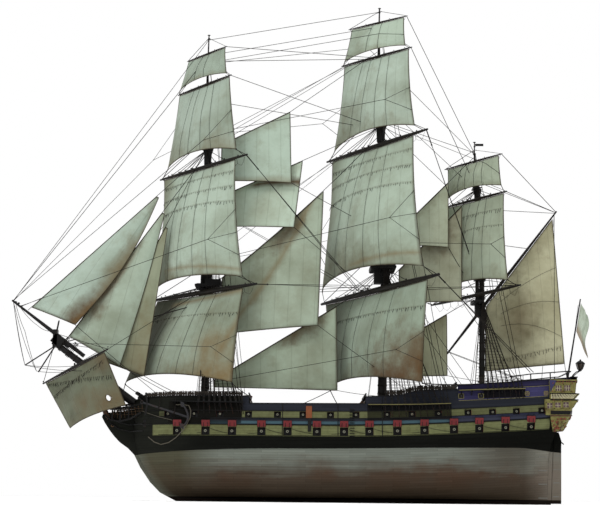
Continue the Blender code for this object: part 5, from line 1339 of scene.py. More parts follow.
# Rims and rails of the tops, wooldings, trucks and the hoops at the caps.
def buildMastTrim():
    work = Shape()
    for mast, shape in masts.items():
        top = shape["top"]
        rimX = mastAxis(mast, top) - 4
        front, back = rimX - shape["lower"] * 3.0, rimX + shape["lower"] * 3.0 * shape["aft"]
        side = shape["lower"] * 3.6
        ring = [(front + 8, -side, top - 1), (front, -side * 0.6, top - 1), (front, side * 0.6, top - 1),
                (front + 8, side, top - 1), (back, side, top - 1), (back, -side, top - 1), (front + 8, -side, top - 1)]
        work.bar(ring, 2.4, 5.0, 0)
        for y in np.linspace(-side * 0.86, side * 0.86, 9):
            work.bar([(front + 2, y, top - 6), (back - 1, y, top - 6)], 1.6, 2.6, 0)
        for x in (-shape["lower"] - 2, shape["lower"] * 0.9):
            work.bar([(rimX + 4 + x, -side, top - 8), (rimX + 4 + x, side, top - 8)], 3.0, 4.0, 0)
        for y in (-1, 1):
            for drop in (0, 1):
                middle = mastPoint(mast, top - 14 - 7 * drop) + Vector((0, y * shape["lower"] * 1.15, 0))
                work.box(middle, (shape["lower"] * (2.4 - drop), 3.2, 7), 0)
        if shape["aft"] > 0.5:
            for y in np.linspace(-side + 2, side - 2, 6):
                work.bar([(back - 2, y, top), (back - 2, y, top + 15)], 1.6, 1.6, 0, (1, 0, 0))
            work.bar([(back - 2, -side + 1, top + 16), (back - 2, side - 1, top + 16)], 3.4, 2.2, 0)
            for z in (5, 10):
                work.tube([(back - 2, -side + 1, top + z), (back - 2, side - 1, top + z)], 0.5, 4, 1)
        # bibs and bolsters under the top, canvas on its rail, the swelling under the crosstrees
        thick = shape["lower"]
        for y in (-1, 1):
            bib = mastPoint(mast, top - 24) + Vector((-thick * 0.7, y * thick * 0.8, 0))
            work.box(bib, (thick * 3.3, thick * 0.5, 40), 0)
        work.box(mastPoint(mast, top + 20) + Vector((-thick * 0.9, 0, 0)), (thick * 1.6, thick * 1.1, 34), 0)
        if shape["aft"] > 0.5:
            work.box((back - 3.4, 0, top + 8), (0.8, side * 1.9, 15), 0)
            for y in (-1, 1):
                work.box(((front + back) / 2 + 14, y * (side - 1), top + 7.5), (back - front - 30, 0.8, 13), 0)
        slim = shape["topmast"]
        work.turned(mastPoint(mast, shape["crosstrees"] - 62, "topmast"), mastPoint(mast, shape["crosstrees"] - 3, "topmast"),
                    [(0, slim * 1.02), (0.14, slim * 1.5), (0.7, slim * 1.7), (0.9, slim * 2.2), (1, slim * 2.4)], 8, 0)
        # wooldings on the lower mast and hoops on the doubled parts
        for z in np.arange(shape["foot"] + 26, top - 30, 23.5):
            radius = mastRadius(mast, "lower", z)
            work.turned(mastPoint(mast, z - 2.6), mastPoint(mast, z + 2.6),
                        [(0, radius + 0.1), (0.12, radius + 1.0), (0.37, radius + 0.7), (0.5, radius + 1.1), (0.63, radius + 0.7),
                         (0.88, radius + 1.0), (1, radius + 0.1)], 14, 1)
        for z in np.linspace(top + 14, shape["cap"] - 16, 3):
            radius = mastRadius(mast, "lower", z)
            work.turned(mastPoint(mast, z - 1.4), mastPoint(mast, z + 1.4), [(0, radius + 0.7), (1, radius + 0.7)], 14, 2)
        for section, zs in (("topmast", (shape["cap"] + 18, shape["cap"] + 60)), ("pole", (shape["topcap"] + 14, shape["topcap"] + 60))):
            for z in zs:
                radius = mastRadius(mast, section, z)
                work.turned(mastPoint(mast, z - 1.2, section), mastPoint(mast, z + 1.2, section),
                            [(0, radius + 0.5), (1, radius + 0.5)], 12, 2)
        trees = shape["topmast"] * 3.4
        for x in (-1.6, 1.1):
            bend = [mastPoint(mast, shape["crosstrees"] - 1, "topmast") + Vector((x * shape["topmast"] + 4 * (s * s), s * trees, 0))
                    for s in (-1, -0.5, 0, 0.5, 1)]
            work.bar(bend, 2.2, 2.6, 0)
        hounds = mastPoint(mast, shroudFacts[mast]["hounds"], "pole")
        work.turned(hounds - Vector((0, 0, 3)), hounds + Vector((0, 0, 3)), [(0, 3.4), (0.5, 5.0), (1, 3.4)], 10, 0)
        head = mastPoint(mast, shape["truck"] - 0.4, "pole")
        for drop, radius in ((0, 4.4), (13, 3.6)):
            work.turned(head - Vector((0, 0, drop + 2.2)), head - Vector((0, 0, drop)),
                        [(0, radius * 0.7), (0.3, radius), (0.7, radius), (1, radius * 0.6)], 12, 0)
    vane = mastPoint("mizzen", masts["mizzen"]["truck"] - 9, "pole")
    work.box(vane + Vector((14, 0, 0)), (24, 0.8, 7), 0)
    # rope turns that hold the bowsprit down to the head
    heel, end = Vector((-632, 0, 261)), Vector((-878, 0, 440))
    for share in (0.2, 0.215, 0.23, 0.245, 0.26, 0.5, 0.62, 0.74):
        spot, run = heel.lerp(end, share), (end - heel).normalized()
        radius = 12.6 - 3.6 * share
        work.turned(spot - run * 1.6, spot + run * 1.6, [(0, radius), (0.5, radius + 0.8), (1, radius)], 14, 1)
    work.tube([(-868, -6, 470), (-863.5, -6, 497), (-863, -6, 500)], [2.6, 2.2, 1.4], 8, 0)
    # cheeks at the bowsprit's cap, lashings and the saddle under the jibboom
    run = (end - heel).normalized()
    turn = (run, Vector((0, 1, 0)), run.cross(Vector((0, 1, 0))))
    for y in (-1, 1):
        work.box(heel.lerp(end, 0.955) + Vector((3, y * 9.5, 10)), (34, 3, 26), 0, turn)
    work.box(heel.lerp(end, 0.87) + Vector((4, 0, 14)), (22, 10, 9), 0, turn)
    for share in (0.8, 0.815, 0.83, 0.9, 0.915):
        low = heel.lerp(end, share)
        loop = [low + turn[1] * (math.cos(t) * 12) + turn[2] * (-13 + math.sin(t) * 24) for t in np.linspace(0, 2 * math.pi, 15)]
        work.tube(loop, 0.9, 4, 1)
    # traveller and blocks at the jibboom's end
    for x, z, size in ((-990, 552, 4.2), (-981, 549, 3.4), (-972, 541, 3.0)):
        pulley(work, Vector((x, 0, z)), Vector((x + 10, 0, z - 2)), size, 0)
    work.make("mast_trim", [blackPaint, darkRope, ironWork])


buildMastTrim()
print("mast trim built")


# Lifts, footropes, robands and blocks of each yard.
def buildYardGear():
    work = Shape()
    caps = {"foreCourse": 668, "mainCourse": 731, "crossjack": 630, "foreTopsail": 1047, "mainTopsail": 1131,
            "mizzenTopsail": 925, "foreTopgallant": 1290, "mainTopgallant": 1384, "mizzenTopgallant": 1012,
            "foreRoyal": 1345, "mainRoyal": 1434}
    for name, yard in yards.items():
        section = yard["on"] if name != "crossjack" else "lower"
        if caps[name] > masts[yard["mast"]]["topcap"]:
            section = "pole"
        head = mastPoint(yard["mast"], caps[name], section)
        centre, along, ahead = yardFacts(name)
        thin = 0.5 if yard["half"] > 150 else 0.4
        for side in (-1, 1):
            arm = onYard(name, side * 0.955, yardRadius(name, 0.95))
            rope(work, [arm, head + Vector((-2, -side * 3, 0))], thin)
            pulley(work, head.lerp(arm, 0.06) + Vector((0, -side * 2, 0)), arm, 2.0)
            # footrope with its stirrups, behind the yard
            shares = np.linspace(0.04, 0.93, 4 if yard["half"] < 150 else 6)
            depth = 20 if yard["half"] > 150 else 12
            line = []
            for a, b in zip(shares, shares[1:]):
                for t in (0, 0.25, 0.5, 0.75):
                    low = depth * (1 - 0.25 * math.cos(2 * math.pi * t))
                    edge = min(1.0, 6 * (1 - (a + (b - a) * t)))
                    line.append(onYard(name, side * (a + (b - a) * t), -low * edge, -yard["radius"] - 1.5))
            line.append(onYard(name, side * shares[-1], -yardRadius(name, 0.93), -yardRadius(name, 0.93)))
            work.tube(line, 0.4, 3, 0)
            for share in shares[1:-1]:
                rope(work, [onYard(name, side * share, 0, -yardRadius(name, share)),
                            onYard(name, side * share, -depth * 0.75, -yard["radius"] - 1.5)], 0.35, sides=3)
            places = (0.22, 0.5, 0.8) if yard["half"] > 120 else (0.4,)
            for share in places:
                spot = onYard(name, side * share, yardRadius(name, share) + 2.0)
                pulley(work, spot, spot + along, 2.3 if yard["half"] > 150 else 1.6)
        rings = int(yard["half"] / 8.5)
        for i in range(-rings, rings + 1):
            share = 0.9 * i / rings
            radius = yardRadius(name, share) + 0.35
            circle = [onYard(name, share, math.sin(t) * radius, math.cos(t) * radius) for t in np.linspace(0, 2 * math.pi, 9)]
            work.tube(circle, 0.38, 3, 2)
        # ties that hold the yard at the mast
        for z in (-1.5, 1.5):
            work.tube([onYard(name, s, z, -yard["parrel"] * abs(s) * 30) for s in (-0.03, 0, 0.03)], 0.7, 4, 0)
    # turns of rope round the lateen yard and the spritsail yard
    for low, high, profile, count in ((Vector(lateen["low"]), Vector(lateen["high"]), lateen["profile"], 34),
                                      (Vector(sprit["near"]), Vector(sprit["far"]), sprit["profile"], 26)):
        run = (high - low).normalized()
        for i in range(count):
            share = 0.05 + 0.9 * i / (count - 1)
            radius = float(np.interp(share, [p[0] for p in profile], [p[1] for p in profile])) + 0.4
            spot = low.lerp(high, share)
            work.turned(spot - run * 0.5, spot + run * 0.5, [(0, radius), (1, radius)], 8, 2)
    work.make("yard_gear", [tarRope, blackPaint, boltRope])


buildYardGear()
print("yards rigged")


def sailSpot(name, u, v):
    if name in squareSails:
        order = list(squareSails).index(name)
        return squarePoint(name, squareSails[name], 1.3 * order)(u, v)
    if name in headsails:
        return headsailPoint(headsails[name], 0.7 * list(headsails).index(name))(u, v)
    if name in staysails:
        return staysailPoint(staysails[name], 0.9 * list(staysails).index(name))(u, v)
    return lateenPoint(u, v) if name == "mizzen_lateen_sail" else spritPoint(u, v)


# Running rigging: braces, bowlines, tacks, sheets, and the stays that carry no sail.
def buildRunning():
    work = Shape()
    jibEnd, capEnd = Vector((-997, 0, 556)), Vector((-871, 0, 474))
    # braces: yard, share of the arm, where they lead, whether a pennant and block stand between
    stayAt = Vector((-8, 0, stayHeight("main_stay", -8)))
    braces = [
        ("foreCourse", Vector((20, 0, stayHeight("main_stay", 20))), True), ("foreTopsail", stayAt, True),
        ("foreTopgallant", mastPoint("main", 1072, "topmast"), False), ("foreRoyal", mastPoint("main", 1288, "pole"), False),
        ("mainTopsail", mastPoint("mizzen", 640, "topmast"), True), ("mainTopgallant", mastPoint("mizzen", 890, "topmast"), False),
        ("mainRoyal", mastPoint("mizzen", 1000, "pole"), False),
        ("mizzenTopsail", Vector((556, 12, 830)), False), ("mizzenTopgallant", Vector((556, 12, 832)), False),
        ("crossjack", mastPoint("main", 600), True),
    ]
    for name, lead, tackle in braces:
        for side in (-1, 1):
            arm = onYard(name, side * 0.965, 0, -yardRadius(name, 0.96))
            end = lead + Vector((0, -side * 4, 0))
            if not tackle:
                rope(work, [arm, end], 0.45)
                continue
            block = arm.lerp(end, 0.1)
            rope(work, [arm, block], 0.8)
            pulley(work, block, end, 3.0)
            rope(work, [block, end], 0.45)
            rope(work, [block, end + Vector((0, -side * 4, -9))], 0.45)
    for side in (-1, 1):
        arm = onYard("mainCourse", side * 0.965, 0, -yardRadius("mainCourse", 0.96))
        end = railSpot(452, -side) + Vector((0, 0, 22))
        block = arm.lerp(end, 0.07)
        rope(work, [arm, block], 0.9)
        pulley(work, block, end, 3.4)
        rope(work, [block, end], 0.5)
        rope(work, [block, end + Vector((9, 0, 0))], 0.5)
    # bowlines: bridles on the leech, then a line that leads forward
    bowlines = [
        ("fore_topsail_sail", (0.42, 0.62, 0.82), jibEnd + Vector((22, 0, -16))), ("fore_topgallant_sail", (0.45, 0.75), jibEnd),
        ("main_topsail_sail", (0.42, 0.6, 0.8), mastPoint("fore", 676)), ("main_topgallant_sail", (0.5, 0.8), mastPoint("fore", 1052, "topmast")),
        ("main_royal_sail", (0.6,), mastPoint("fore", 1268, "pole")), ("fore_course_sail", (0.5, 0.8), Vector((-860, 0, 436))),
        ("main_course_sail", (0.5, 0.8), Vector((-420, 0, 330))), ("mizzen_topsail_sail", (0.5, 0.75), mastPoint("main", 736)),
        ("mizzen_topgallant_sail", (0.6,), mastPoint("main", 1092, "topmast")),
    ]
    for name, heights, lead in bowlines:
        for u in (0, 1):
            end = lead + Vector((0, -4 if u else 4, 0))
            spots = [sailSpot(name, u, v) for v in heights]
            middle = sum(spots, Vector()) / len(spots)
            knot = middle.lerp(end, 0.13 if (end - middle).length > 300 else 0.2)
            if u:
                knot.y -= 36 if (end - middle).length > 300 else 18  # clear of the sail's belly
            for spot in spots:
                rope(work, [spot, knot], 0.38)
            if len(spots) > 1:
                pulley(work, knot, end, 1.6)
            rope(work, [knot, end], 0.4)
    # bundle from the main topgallant yard to the fore crosstrees
    for z, u in ((1022, 0.0), (1040, 0.12), (1004, 0.2)):
        rope(work, [onYard("mainTopgallant", -0.93 + u, -2), mastPoint("fore", z, "topmast")], 0.4)
    for z, share in ((690, -0.9), (716, -0.82), (654, -0.75)):
        rope(work, [onYard("mainTopsail", share, -4), mastPoint("fore", z, "topmast")], 0.4)
    # tacks and sheets
    tacks = [
        ("fore_course_sail", 1, [(-350, -1), (-318, -1)]), ("fore_course_sail", 0, [(-604, 1)]),
        ("main_course_sail", 1, [(236, -1), (262, -1), (300, -1)]), ("main_course_sail", 0, [(-210, 1), (-60, 1)]),
    ]
    for name, u, feet in tacks:
        corner = sailSpot(name, u, 1)
        pulley(work, corner + Vector((0, 0, -3)), corner + Vector((3, 0, -9)), 3.0)
        for x, side in feet:
            rope(work, [corner + Vector((0, 0, -4)), railSpot(x, side)], 0.6, 2)
    rope(work, [sailSpot("fore_course_sail", 0, 1), (-690, 40, 262)], 0.6)
    for name, u, v, foot in (
            ("jib", 1, 0, railSpot(-560, -1)), ("fore_topmast_staysail", 1, 0, railSpot(-520, -1)),
            ("fore_staysail", 1, 0, railSpot(-500, -1)), ("main_staysail", 1, 0, railSpot(30, -1)),
            ("main_topmast_staysail", 1, 0, railSpot(120, -1)), ("middle_staysail", 1, 0, mastPoint("main", 560)),
            ("mizzen_staysail", 1, 0, railSpot(346, -1)), ("mizzen_topmast_staysail", 1, 0, railSpot(420, -1)),
            ("mizzen_topgallant_staysail", 1, 0, mastPoint("mizzen", 560)), ("main_topgallant_staysail", 1, 0, mastPoint("main", 760)),
            ("mizzen_lateen_sail", 1, 0, (574, 0, 346))):
        rope(work, [sailSpot(name, u, v), foot], 0.45, 1.5)
    for name in ("main_topgallant_staysail", "middle_staysail", "mizzen_topgallant_staysail", "mizzen_topmast_staysail"):
        mast = "main" if "mizzen" in name else "fore"
        tack = sailSpot(name, 0, 0)
        rope(work, [tack, mastPoint(mast, tack.z - 60, "lower" if tack.z < 700 else "topmast")], 0.4)
    # sheets of the square sails down to the yard below
    for name, facts in squareSails.items():
        if "foot" in facts:
            for u, share in ((0, -0.93), (1, 0.93)):
                rope(work, [sailSpot(name, u, 1), onYard(facts["foot"], share, 1, 2)], 0.55)
                pulley(work, sailSpot(name, u, 1) + Vector((0, 0, 1)), onYard(facts["foot"], share), 2.0)
    # stays at the head of the masts
    rope(work, [jibEnd, mastPoint("fore", 1292, "pole")], 0.5)
    rope(work, [jibEnd + Vector((2, 0, 2)), mastPoint("fore", 1340, "pole")], 0.42)
    rope(work, [mastPoint("fore", 1292, "pole"), mastPoint("main", 1386, "pole")], 0.42)
    rope(work, [mastPoint("fore", 1340, "pole"), mastPoint("main", 1432, "pole")], 0.42)
    rope(work, [mastPoint("main", 1098, "topmast"), mastPoint("mizzen", 1004, "pole")], 0.42)
    rope(work, [(-835, 3, 442), mastPoint("fore", 560)], 0.9)
    # slack stays that run from the jibboom's end over the poles to the head
    for pole, far, slack in (((-952, -14, 371), (-800, -8, 372), 4), ((-919, -14, 355), (-790, -6, 366), 8), ((-952, -14, 371), (-760, -30, 356), 6)):
        rope(work, [jibEnd, pole], 0.42, slack * 2.2)
        rope(work, [pole, far], 0.42, slack)
    rope(work, [(-990, 0, 549), (-960, 0, 470), (-919, -14, 355)], 0.42, 6)
    rope(work, [(-980, 0, 542), (-925, 0, 486), (-884, 0, 470)], 0.42, 5)
    for x, z in ((-693, 300), (-716, 318)):
        rope(work, [(x, 0, z), (-652 - (x + 693) * 0.3, 0, 150)], 0.7)
    # spritsail yard: lifts and braces
    for end, side in ((sprit["near"], -1), (sprit["far"], 1)):
        rope(work, [end, (-868, side * 4, 462)], 0.45)
        pulley(work, Vector(end) + Vector((0, 0, 6)), Vector((-868, 0, 462)), 2.2)
        rope(work, [end, mastPoint("fore", 596) + Vector((-8, side * 6, 0))], 0.45)
    # lateen yard: vangs, peak halyard and the brails on its sail
    peak = Vector((552, 12, 826))
    for side in (-1, 1):
        rope(work, [peak, railSpot(520, side) + Vector((0, 0, 14))], 0.42, 3)
    rope(work, [peak.lerp(Vector((238, 12, 418)), 0.25), mastPoint("mizzen", 740, "topmast")], 0.5)
    rope(work, [peak.lerp(Vector((238, 12, 418)), 0.45), mastPoint("mizzen", 640)], 0.5)
    for v, toward in ((0.18, 0.62), (0.42, 0.75), (0.66, 0.88)):
        line = [sailSpot("mizzen_lateen_sail", 1 - t, v + (toward - v) * t) + Vector((0, -1.6, 0)) for t in np.linspace(0, 0.8, 8)]
        work.tube(line, 0.4, 3, 0)
    rope(work, [(578, 0, 350), (611, 0, 560)], 0.3, 3)
    # leech lines and clew garnets gather at the tops and the topmast heads
    for name, mast, height in (("foreCourse", "fore", 606), ("mainCourse", "main", 661), ("crossjack", "mizzen", 568),
                               ("foreTopsail", "fore", 1006), ("mainTopsail", "main", 1084), ("mizzenTopsail", "mizzen", 894)):
        section = "lower" if height < 700 else "topmast"
        for share in (-0.72, -0.55, -0.4, -0.26, -0.14, 0.14, 0.3, 0.5):
            foot = onYard(name, share, yardRadius(name, share))
            head = mastPoint(mast, height, section) + Vector((-6, (-8 if share > 0 else 8), 0))
            rope(work, [foot, head], 0.45)
            pulley(work, foot + Vector((0, 0, 3)), head, 2.2)
    # falls belayed at the masts and the rails
    for mast, spots in (("fore", ((-470, -1), (-428, -1), (-470, 1), (-428, 1))), ("main", ((12, -1), (80, -1), (12, 1), (80, 1))),
                        ("mizzen", ((300, -1), (360, -1), (300, 1), (360, 1)))):
        for x, side in spots:
            foot = Vector((x, side * 22, masts[mast]["foot"] + 2))
            rope(work, [foot, mastPoint(mast, masts[mast]["top"] - 8) + Vector((0, side * 16, 0))], 0.4)
    for x, z, side in ((262, 640, -1), (290, 700, -1), (262, 640, 1), (290, 700, 1)):
        rope(work, [railSpot(x, side), mastPoint("main", z, "topmast") + Vector((6, side * 6, 0))], 0.42)
    work.make("running_rigging", [darkRope, blackPaint])


buildRunning()
print("running rigging rove")


# Lines of the stern gallery: front x, side x, side z, half width, middle x, middle z.
galleryLines = [
    (513, 521, 197, 95, 544, 203), (508, 530, 210, 105, 553, 217), (504, 545, 227, 113, 561, 233),
    (503, 555, 240, 115, 567, 245), (503, 560, 260, 115, 570, 265), (503, 578, 281.5, 116, 584, 286),
    (503, 568, 284.5, 115, 575, 290), (503, 581, 298, 116, 587, 303), (503, 570, 301, 115, 577, 307),
    (503, 575, 335, 113, 582, 345),
]


# A spot on the gallery: turn runs from 0, the front of the side, over the corner at 1 to 4 amidships.
def galleryPoint(turn, level, side=-1, out=0.0):
    def onLine(line):
        front, sideX, sideZ, half, middleX, middleZ = line
        corners = [(front, half, sideZ), (sideX, half, sideZ), (middleX - 3, half * 0.84, sideZ + 0.35 * (middleZ - sideZ)),
                   (middleX, half * 0.3, middleZ), (middleX, 0, middleZ)]
        first = min(int(turn), 3)
        spot = Vector(corners[first]).lerp(Vector(corners[first + 1]), turn - first)
        return Vector((spot.x, spot.y * side, spot.z))

    low = min(int(level), len(galleryLines) - 2)
    spot = onLine(galleryLines[low]).lerp(onLine(galleryLines[low + 1]), level - low)
    if not out:
        return spot
    ahead = galleryPoint(min(4, turn + 0.02), level, side) - galleryPoint(max(0, turn - 0.02), level, side)
    rise = galleryPoint(turn, min(9, level + 0.02), side) - galleryPoint(turn, max(0, level - 0.02), side)
    normal = ahead.cross(rise).normalized()
    if normal.dot(Vector((0.3 if turn < 1 else 1.0, side if turn < 1 else 0.0, 0))) < 0:
        normal = -normal
    return spot + normal * out


# A framed window with its bars, standing on a face given by two directions.
def window(work, middle, across, rise, width, height, columns=3, rows=3):
    across, rise = across.normalized(), rise.normalized()
    out = across.cross(rise).normalized()
    if out.dot(Vector((middle.x - 470, middle.y, 0))) < 0:
        out = -out
    turn = (across, out, rise)
    work.box(middle + out * 0.4, (width, 1.4, height), 2, turn)
    for s in (-1, 1):
        work.box(middle + out * 0.9 + across * (s * width / 2), (2.0, 2.6, height + 2.0), 0, turn)
        work.box(middle + out * 0.9 + rise * (s * height / 2), (width + 2.0, 2.6, 2.0), 0, turn)
    for i in range(1, columns):
        work.box(middle + out * 0.8 + across * (width * (i / columns - 0.5)), (0.9, 1.6, height), 5, turn)
    for i in range(1, rows):
        work.box(middle + out * 0.8 + rise * (height * (i / rows - 0.5)), (width, 1.6, 0.9), 5, turn)


# A little carved scroll, a leaf curling over a face.
def scroll(work, spot, normal, size, turn, slot):
    normal = normal.normalized()
    side = normal.cross(Vector((0, 0, 1))).normalized()
    rise = side.cross(normal)
    line, radii = [], []
    for i in range(9):
        t = i / 8
        angle = turn + 4.4 * t
        reach = size * (1 - 0.75 * t)
        line.append(spot + side * (math.cos(angle) * reach) + rise * (math.sin(angle) * reach) + normal * (0.4 + 0.8 * t))
        radii.append(size * (0.1 + 0.22 * math.sin(math.pi * (0.15 + 0.75 * t))))
    work.tube(line, radii, 5, slot)


def buildStern():
    work = Shape()
    for side in (-1, 1):
        # the forward end of the lower gallery stands out from the planks
        for low, high, first in ((240, 259, 490), (259, 283, 488)):
            ring = [Vector((x, y, z)) for z in (low, high) for x, y in
                    ((first, side * halfBreadth(first, z)), (505, side * halfBreadth(505, z)), (505, side * 115.2), (first + 1, side * 114.6))]
            work.add(ring, [(3, 2, 1, 0), (4, 5, 6, 7)] + [(k, (k + 1) % 4, 4 + (k + 1) % 4, 4 + k) for k in range(4)], 0)
        ahead, rise = Vector((1, 0, 0)), Vector((0, 0, 1))
        for x, z in ((501, 265), (523, 266.6), (545, 267.8)):
            window(work, Vector((x, side * 115.6, z)), ahead, rise, 17, 17, 2, 2)
        for x, z in ((526, 313), (550, 313.8)):
            window(work, Vector((x, side * 114.6, z)), ahead, rise, 19, 17, 3, 2)
        # the bulwark's violet runs over the upper corner, black bands part the storeys
        corner = [(502, 336), (521, 334), (504, 303)]
        work.add([(x, side * (115.2 + out), z) for out in (0, 1.6) for x, z in corner],
                 [(2, 1, 0), (3, 4, 5), (0, 1, 4, 3), (1, 2, 5, 4), (2, 0, 3, 5)], 6)
        for low, high in ((3.1, 3.6), (8.85, 8.99)):
            spots = [[galleryPoint(t, k, side, 0.5) for k in (low, high)] for t in (0.0, 0.5, 0.985, 1.03, 1.5, 2, 3, 4)]
            work.loft(spots, 1, closed=False, smooth=False)
        for x, high in ((511, 20), (533, 20), (556, 18)):
            work.box((x, side * 116, 270.6), (3.4, 2.6, high), 0)
            scroll(work, Vector((x, side * 117.2, 280)), Vector((0, side, 0)), 2.4, 1.0, 3)
        for x in (510, 536.5, 563):
            work.box((x, side * 115, 316), (3.6, 2.6, 27), 0)
            scroll(work, Vector((x, side * 116.4, 327)), Vector((0, side, 0)), 2.6, 2.0, 3)
            scroll(work, Vector((x, side * 116.4, 305)), Vector((0, side, 0)), 2.0, 4.0, 3)
        # balustrade over a dark ground
        work.add([galleryPoint(t, k, side, 0.4) for t, k in ((0.04, 6.05), (0.97, 6.05), (0.97, 6.95), (0.04, 6.95))], [(0, 1, 2, 3)], 1)
        for i in range(16):
            foot, head = galleryPoint(0.05 + 0.058 * i, 6.0, side, 1.2), galleryPoint(0.05 + 0.058 * i, 7.0, side, 1.2)
            work.turned(foot, head, [(0, 0.8), (0.3, 1.5), (0.55, 0.8), (0.8, 1.3), (1, 0.8)], 6, 5)
        for low, high in ((1.06, 1.94), (2.04, 2.96), (3.04, 3.96)):
            work.add([galleryPoint(t, k, side, 0.4) for t, k in ((low, 6.1), (high, 6.1), (high, 6.9), (low, 6.9))], [(0, 1, 2, 3)], 1)
            for i in range(int(4 + 9 * (low > 2 and low < 3))):
                t = low + (high - low) * (i + 0.5) / int(4 + 9 * (low > 2 and low < 3))
                foot, head = galleryPoint(t, 6.0, side, 1.0), galleryPoint(t, 7.0, side, 1.0)
                work.turned(foot, head, [(0, 0.8), (0.3, 1.5), (0.55, 0.8), (0.8, 1.3), (1, 0.8)], 6, 0)
        # windows of the stern's face
        for level, height in ((4.5, 14), (8.45, 17)):
            for turn, width in ((2.2, 17), (2.72, 17), (3.42, 16)):
                middle = galleryPoint(turn, level, side, 0.2)
                across = galleryPoint(turn + 0.1, level, side) - galleryPoint(turn - 0.1, level, side)
                up = galleryPoint(turn, level + 0.1, side) - galleryPoint(turn, level - 0.1, side)
                window(work, middle, across, up, width, height, 3, 3)
            for turn in (1.96, 2.46, 2.98, 3.94):
                foot, head = galleryPoint(turn, level - 0.42, side, 0.6), galleryPoint(turn, level + 0.4, side, 0.6)
                work.tube([foot, head], 1.5, 6, 0)
                scroll(work, galleryPoint(turn, level + 0.36, side, 1.6), Vector((1, 0, 0)), 3.0, 1.0 + turn, 3)
        # mouldings round the whole gallery
        for level, radius, slot in ((0, 1.0, 4), (1, 1.2, 0), (2, 1.5, 0), (2.9, 2.0, 4), (4, 1.5, 0), (5, 1.8, 1), (6, 1.0, 0),
                                    (7, 1.6, 1), (8, 1.2, 0), (9, 2.0, 0)):
            line = [galleryPoint(t, min(level, 8.999), side, 0.6) for t in (0.0, 0.5, 0.985, 1.03, 1.5, 2, 3, 4)]
            work.tube(line, radius, 6, slot)
        # carved drop under the gallery, and the carving of the upper finishing
        for i in range(64):
            turn = rng.choice((rng.uniform(0.05, 0.95), rng.uniform(1.1, 3.9)))
            level = rng.uniform(0.15, 2.5)
            spot = galleryPoint(turn, level, side, 0.5)
            normal = galleryPoint(turn, level, side, 2.0) - spot
            scroll(work, spot, normal, rng.uniform(3.0, 5.4), rng.uniform(0, 6), rng.choice((3, 3, 0, 4)))
        for x in np.linspace(508, 572, 9):
            scroll(work, Vector((x, side * 114.2, 331.5)), Vector((0, side, 0)), 2.6, x, 0 if int(x) % 2 else 3)
    # taffrail that carries the flagstaff and the lantern
    work.box((573.5, 0, 337.7), (17, 190, 15.4), 6)
    work.bar([(574, -96, 346), (574, 96, 346)], 20, 2.4, 1)
    for y in np.linspace(-84, 84, 15):
        scroll(work, Vector((582.4, y, 337)), Vector((1, 0, 0)), 4.6, y, 0 if int(y) % 2 else 3)
    trim = work.make("stern_trim", [galleryPaint, blackPaint, paneGlass, carvedRed, brownWood, sashPaint, violetPaint])
    return trim


buildStern()
print("stern carved")


def buildLantern():
    lamp = Shape()
    lamp.tube([(580, 0, 347), (586, 0, 352), (592, 0, 361), (601, 0, 369), (611, 0, 372)], [2.4, 2.0, 1.8, 1.8, 2.2], 8, 0)
    for side in (-1, 1):
        lamp.tube([(582, side * 10, 347), (598, side * 5, 362), (610, 0, 371)], 0.8, 5, 0)
    foot, head = Vector((611, 0, 371)), Vector((613, 0, 405))
    lamp.turned(foot, head, [(0, 3.0), (0.1, 6.4), (0.14, 5.0), (0.16, 7.2)], 6, 0)
    lamp.turned(foot, head, [(0.15, 6.6), (0.62, 12.0)], 6, 1)
    lamp.turned(foot, head, [(0.6, 12.4), (0.64, 14.0), (0.68, 13.8), (0.8, 8.5), (0.86, 5.4), (0.87, 2.6), (0.92, 3.2), (1, 1.0)], 6, 0)
    low, high = foot.lerp(head, 0.15), foot.lerp(head, 0.62)
    for k in range(6):
        angle = 2 * math.pi * (k + 0.5) / 6
        for share in (0.0, 0.5):
            turn = angle + share * math.pi / 3
            spread = Vector((math.sin(turn), math.cos(turn), 0))
            keep = 1.0 if not share else 0.88
            lamp.tube([low + spread * 6.9 * keep, high + spread * 12.3 * keep], 1.1 if not share else 0.6, 4, 0)
    piece = lamp.make("lantern", [blackPaint, lampGlass])
    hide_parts("stern_lantern")


buildLantern()


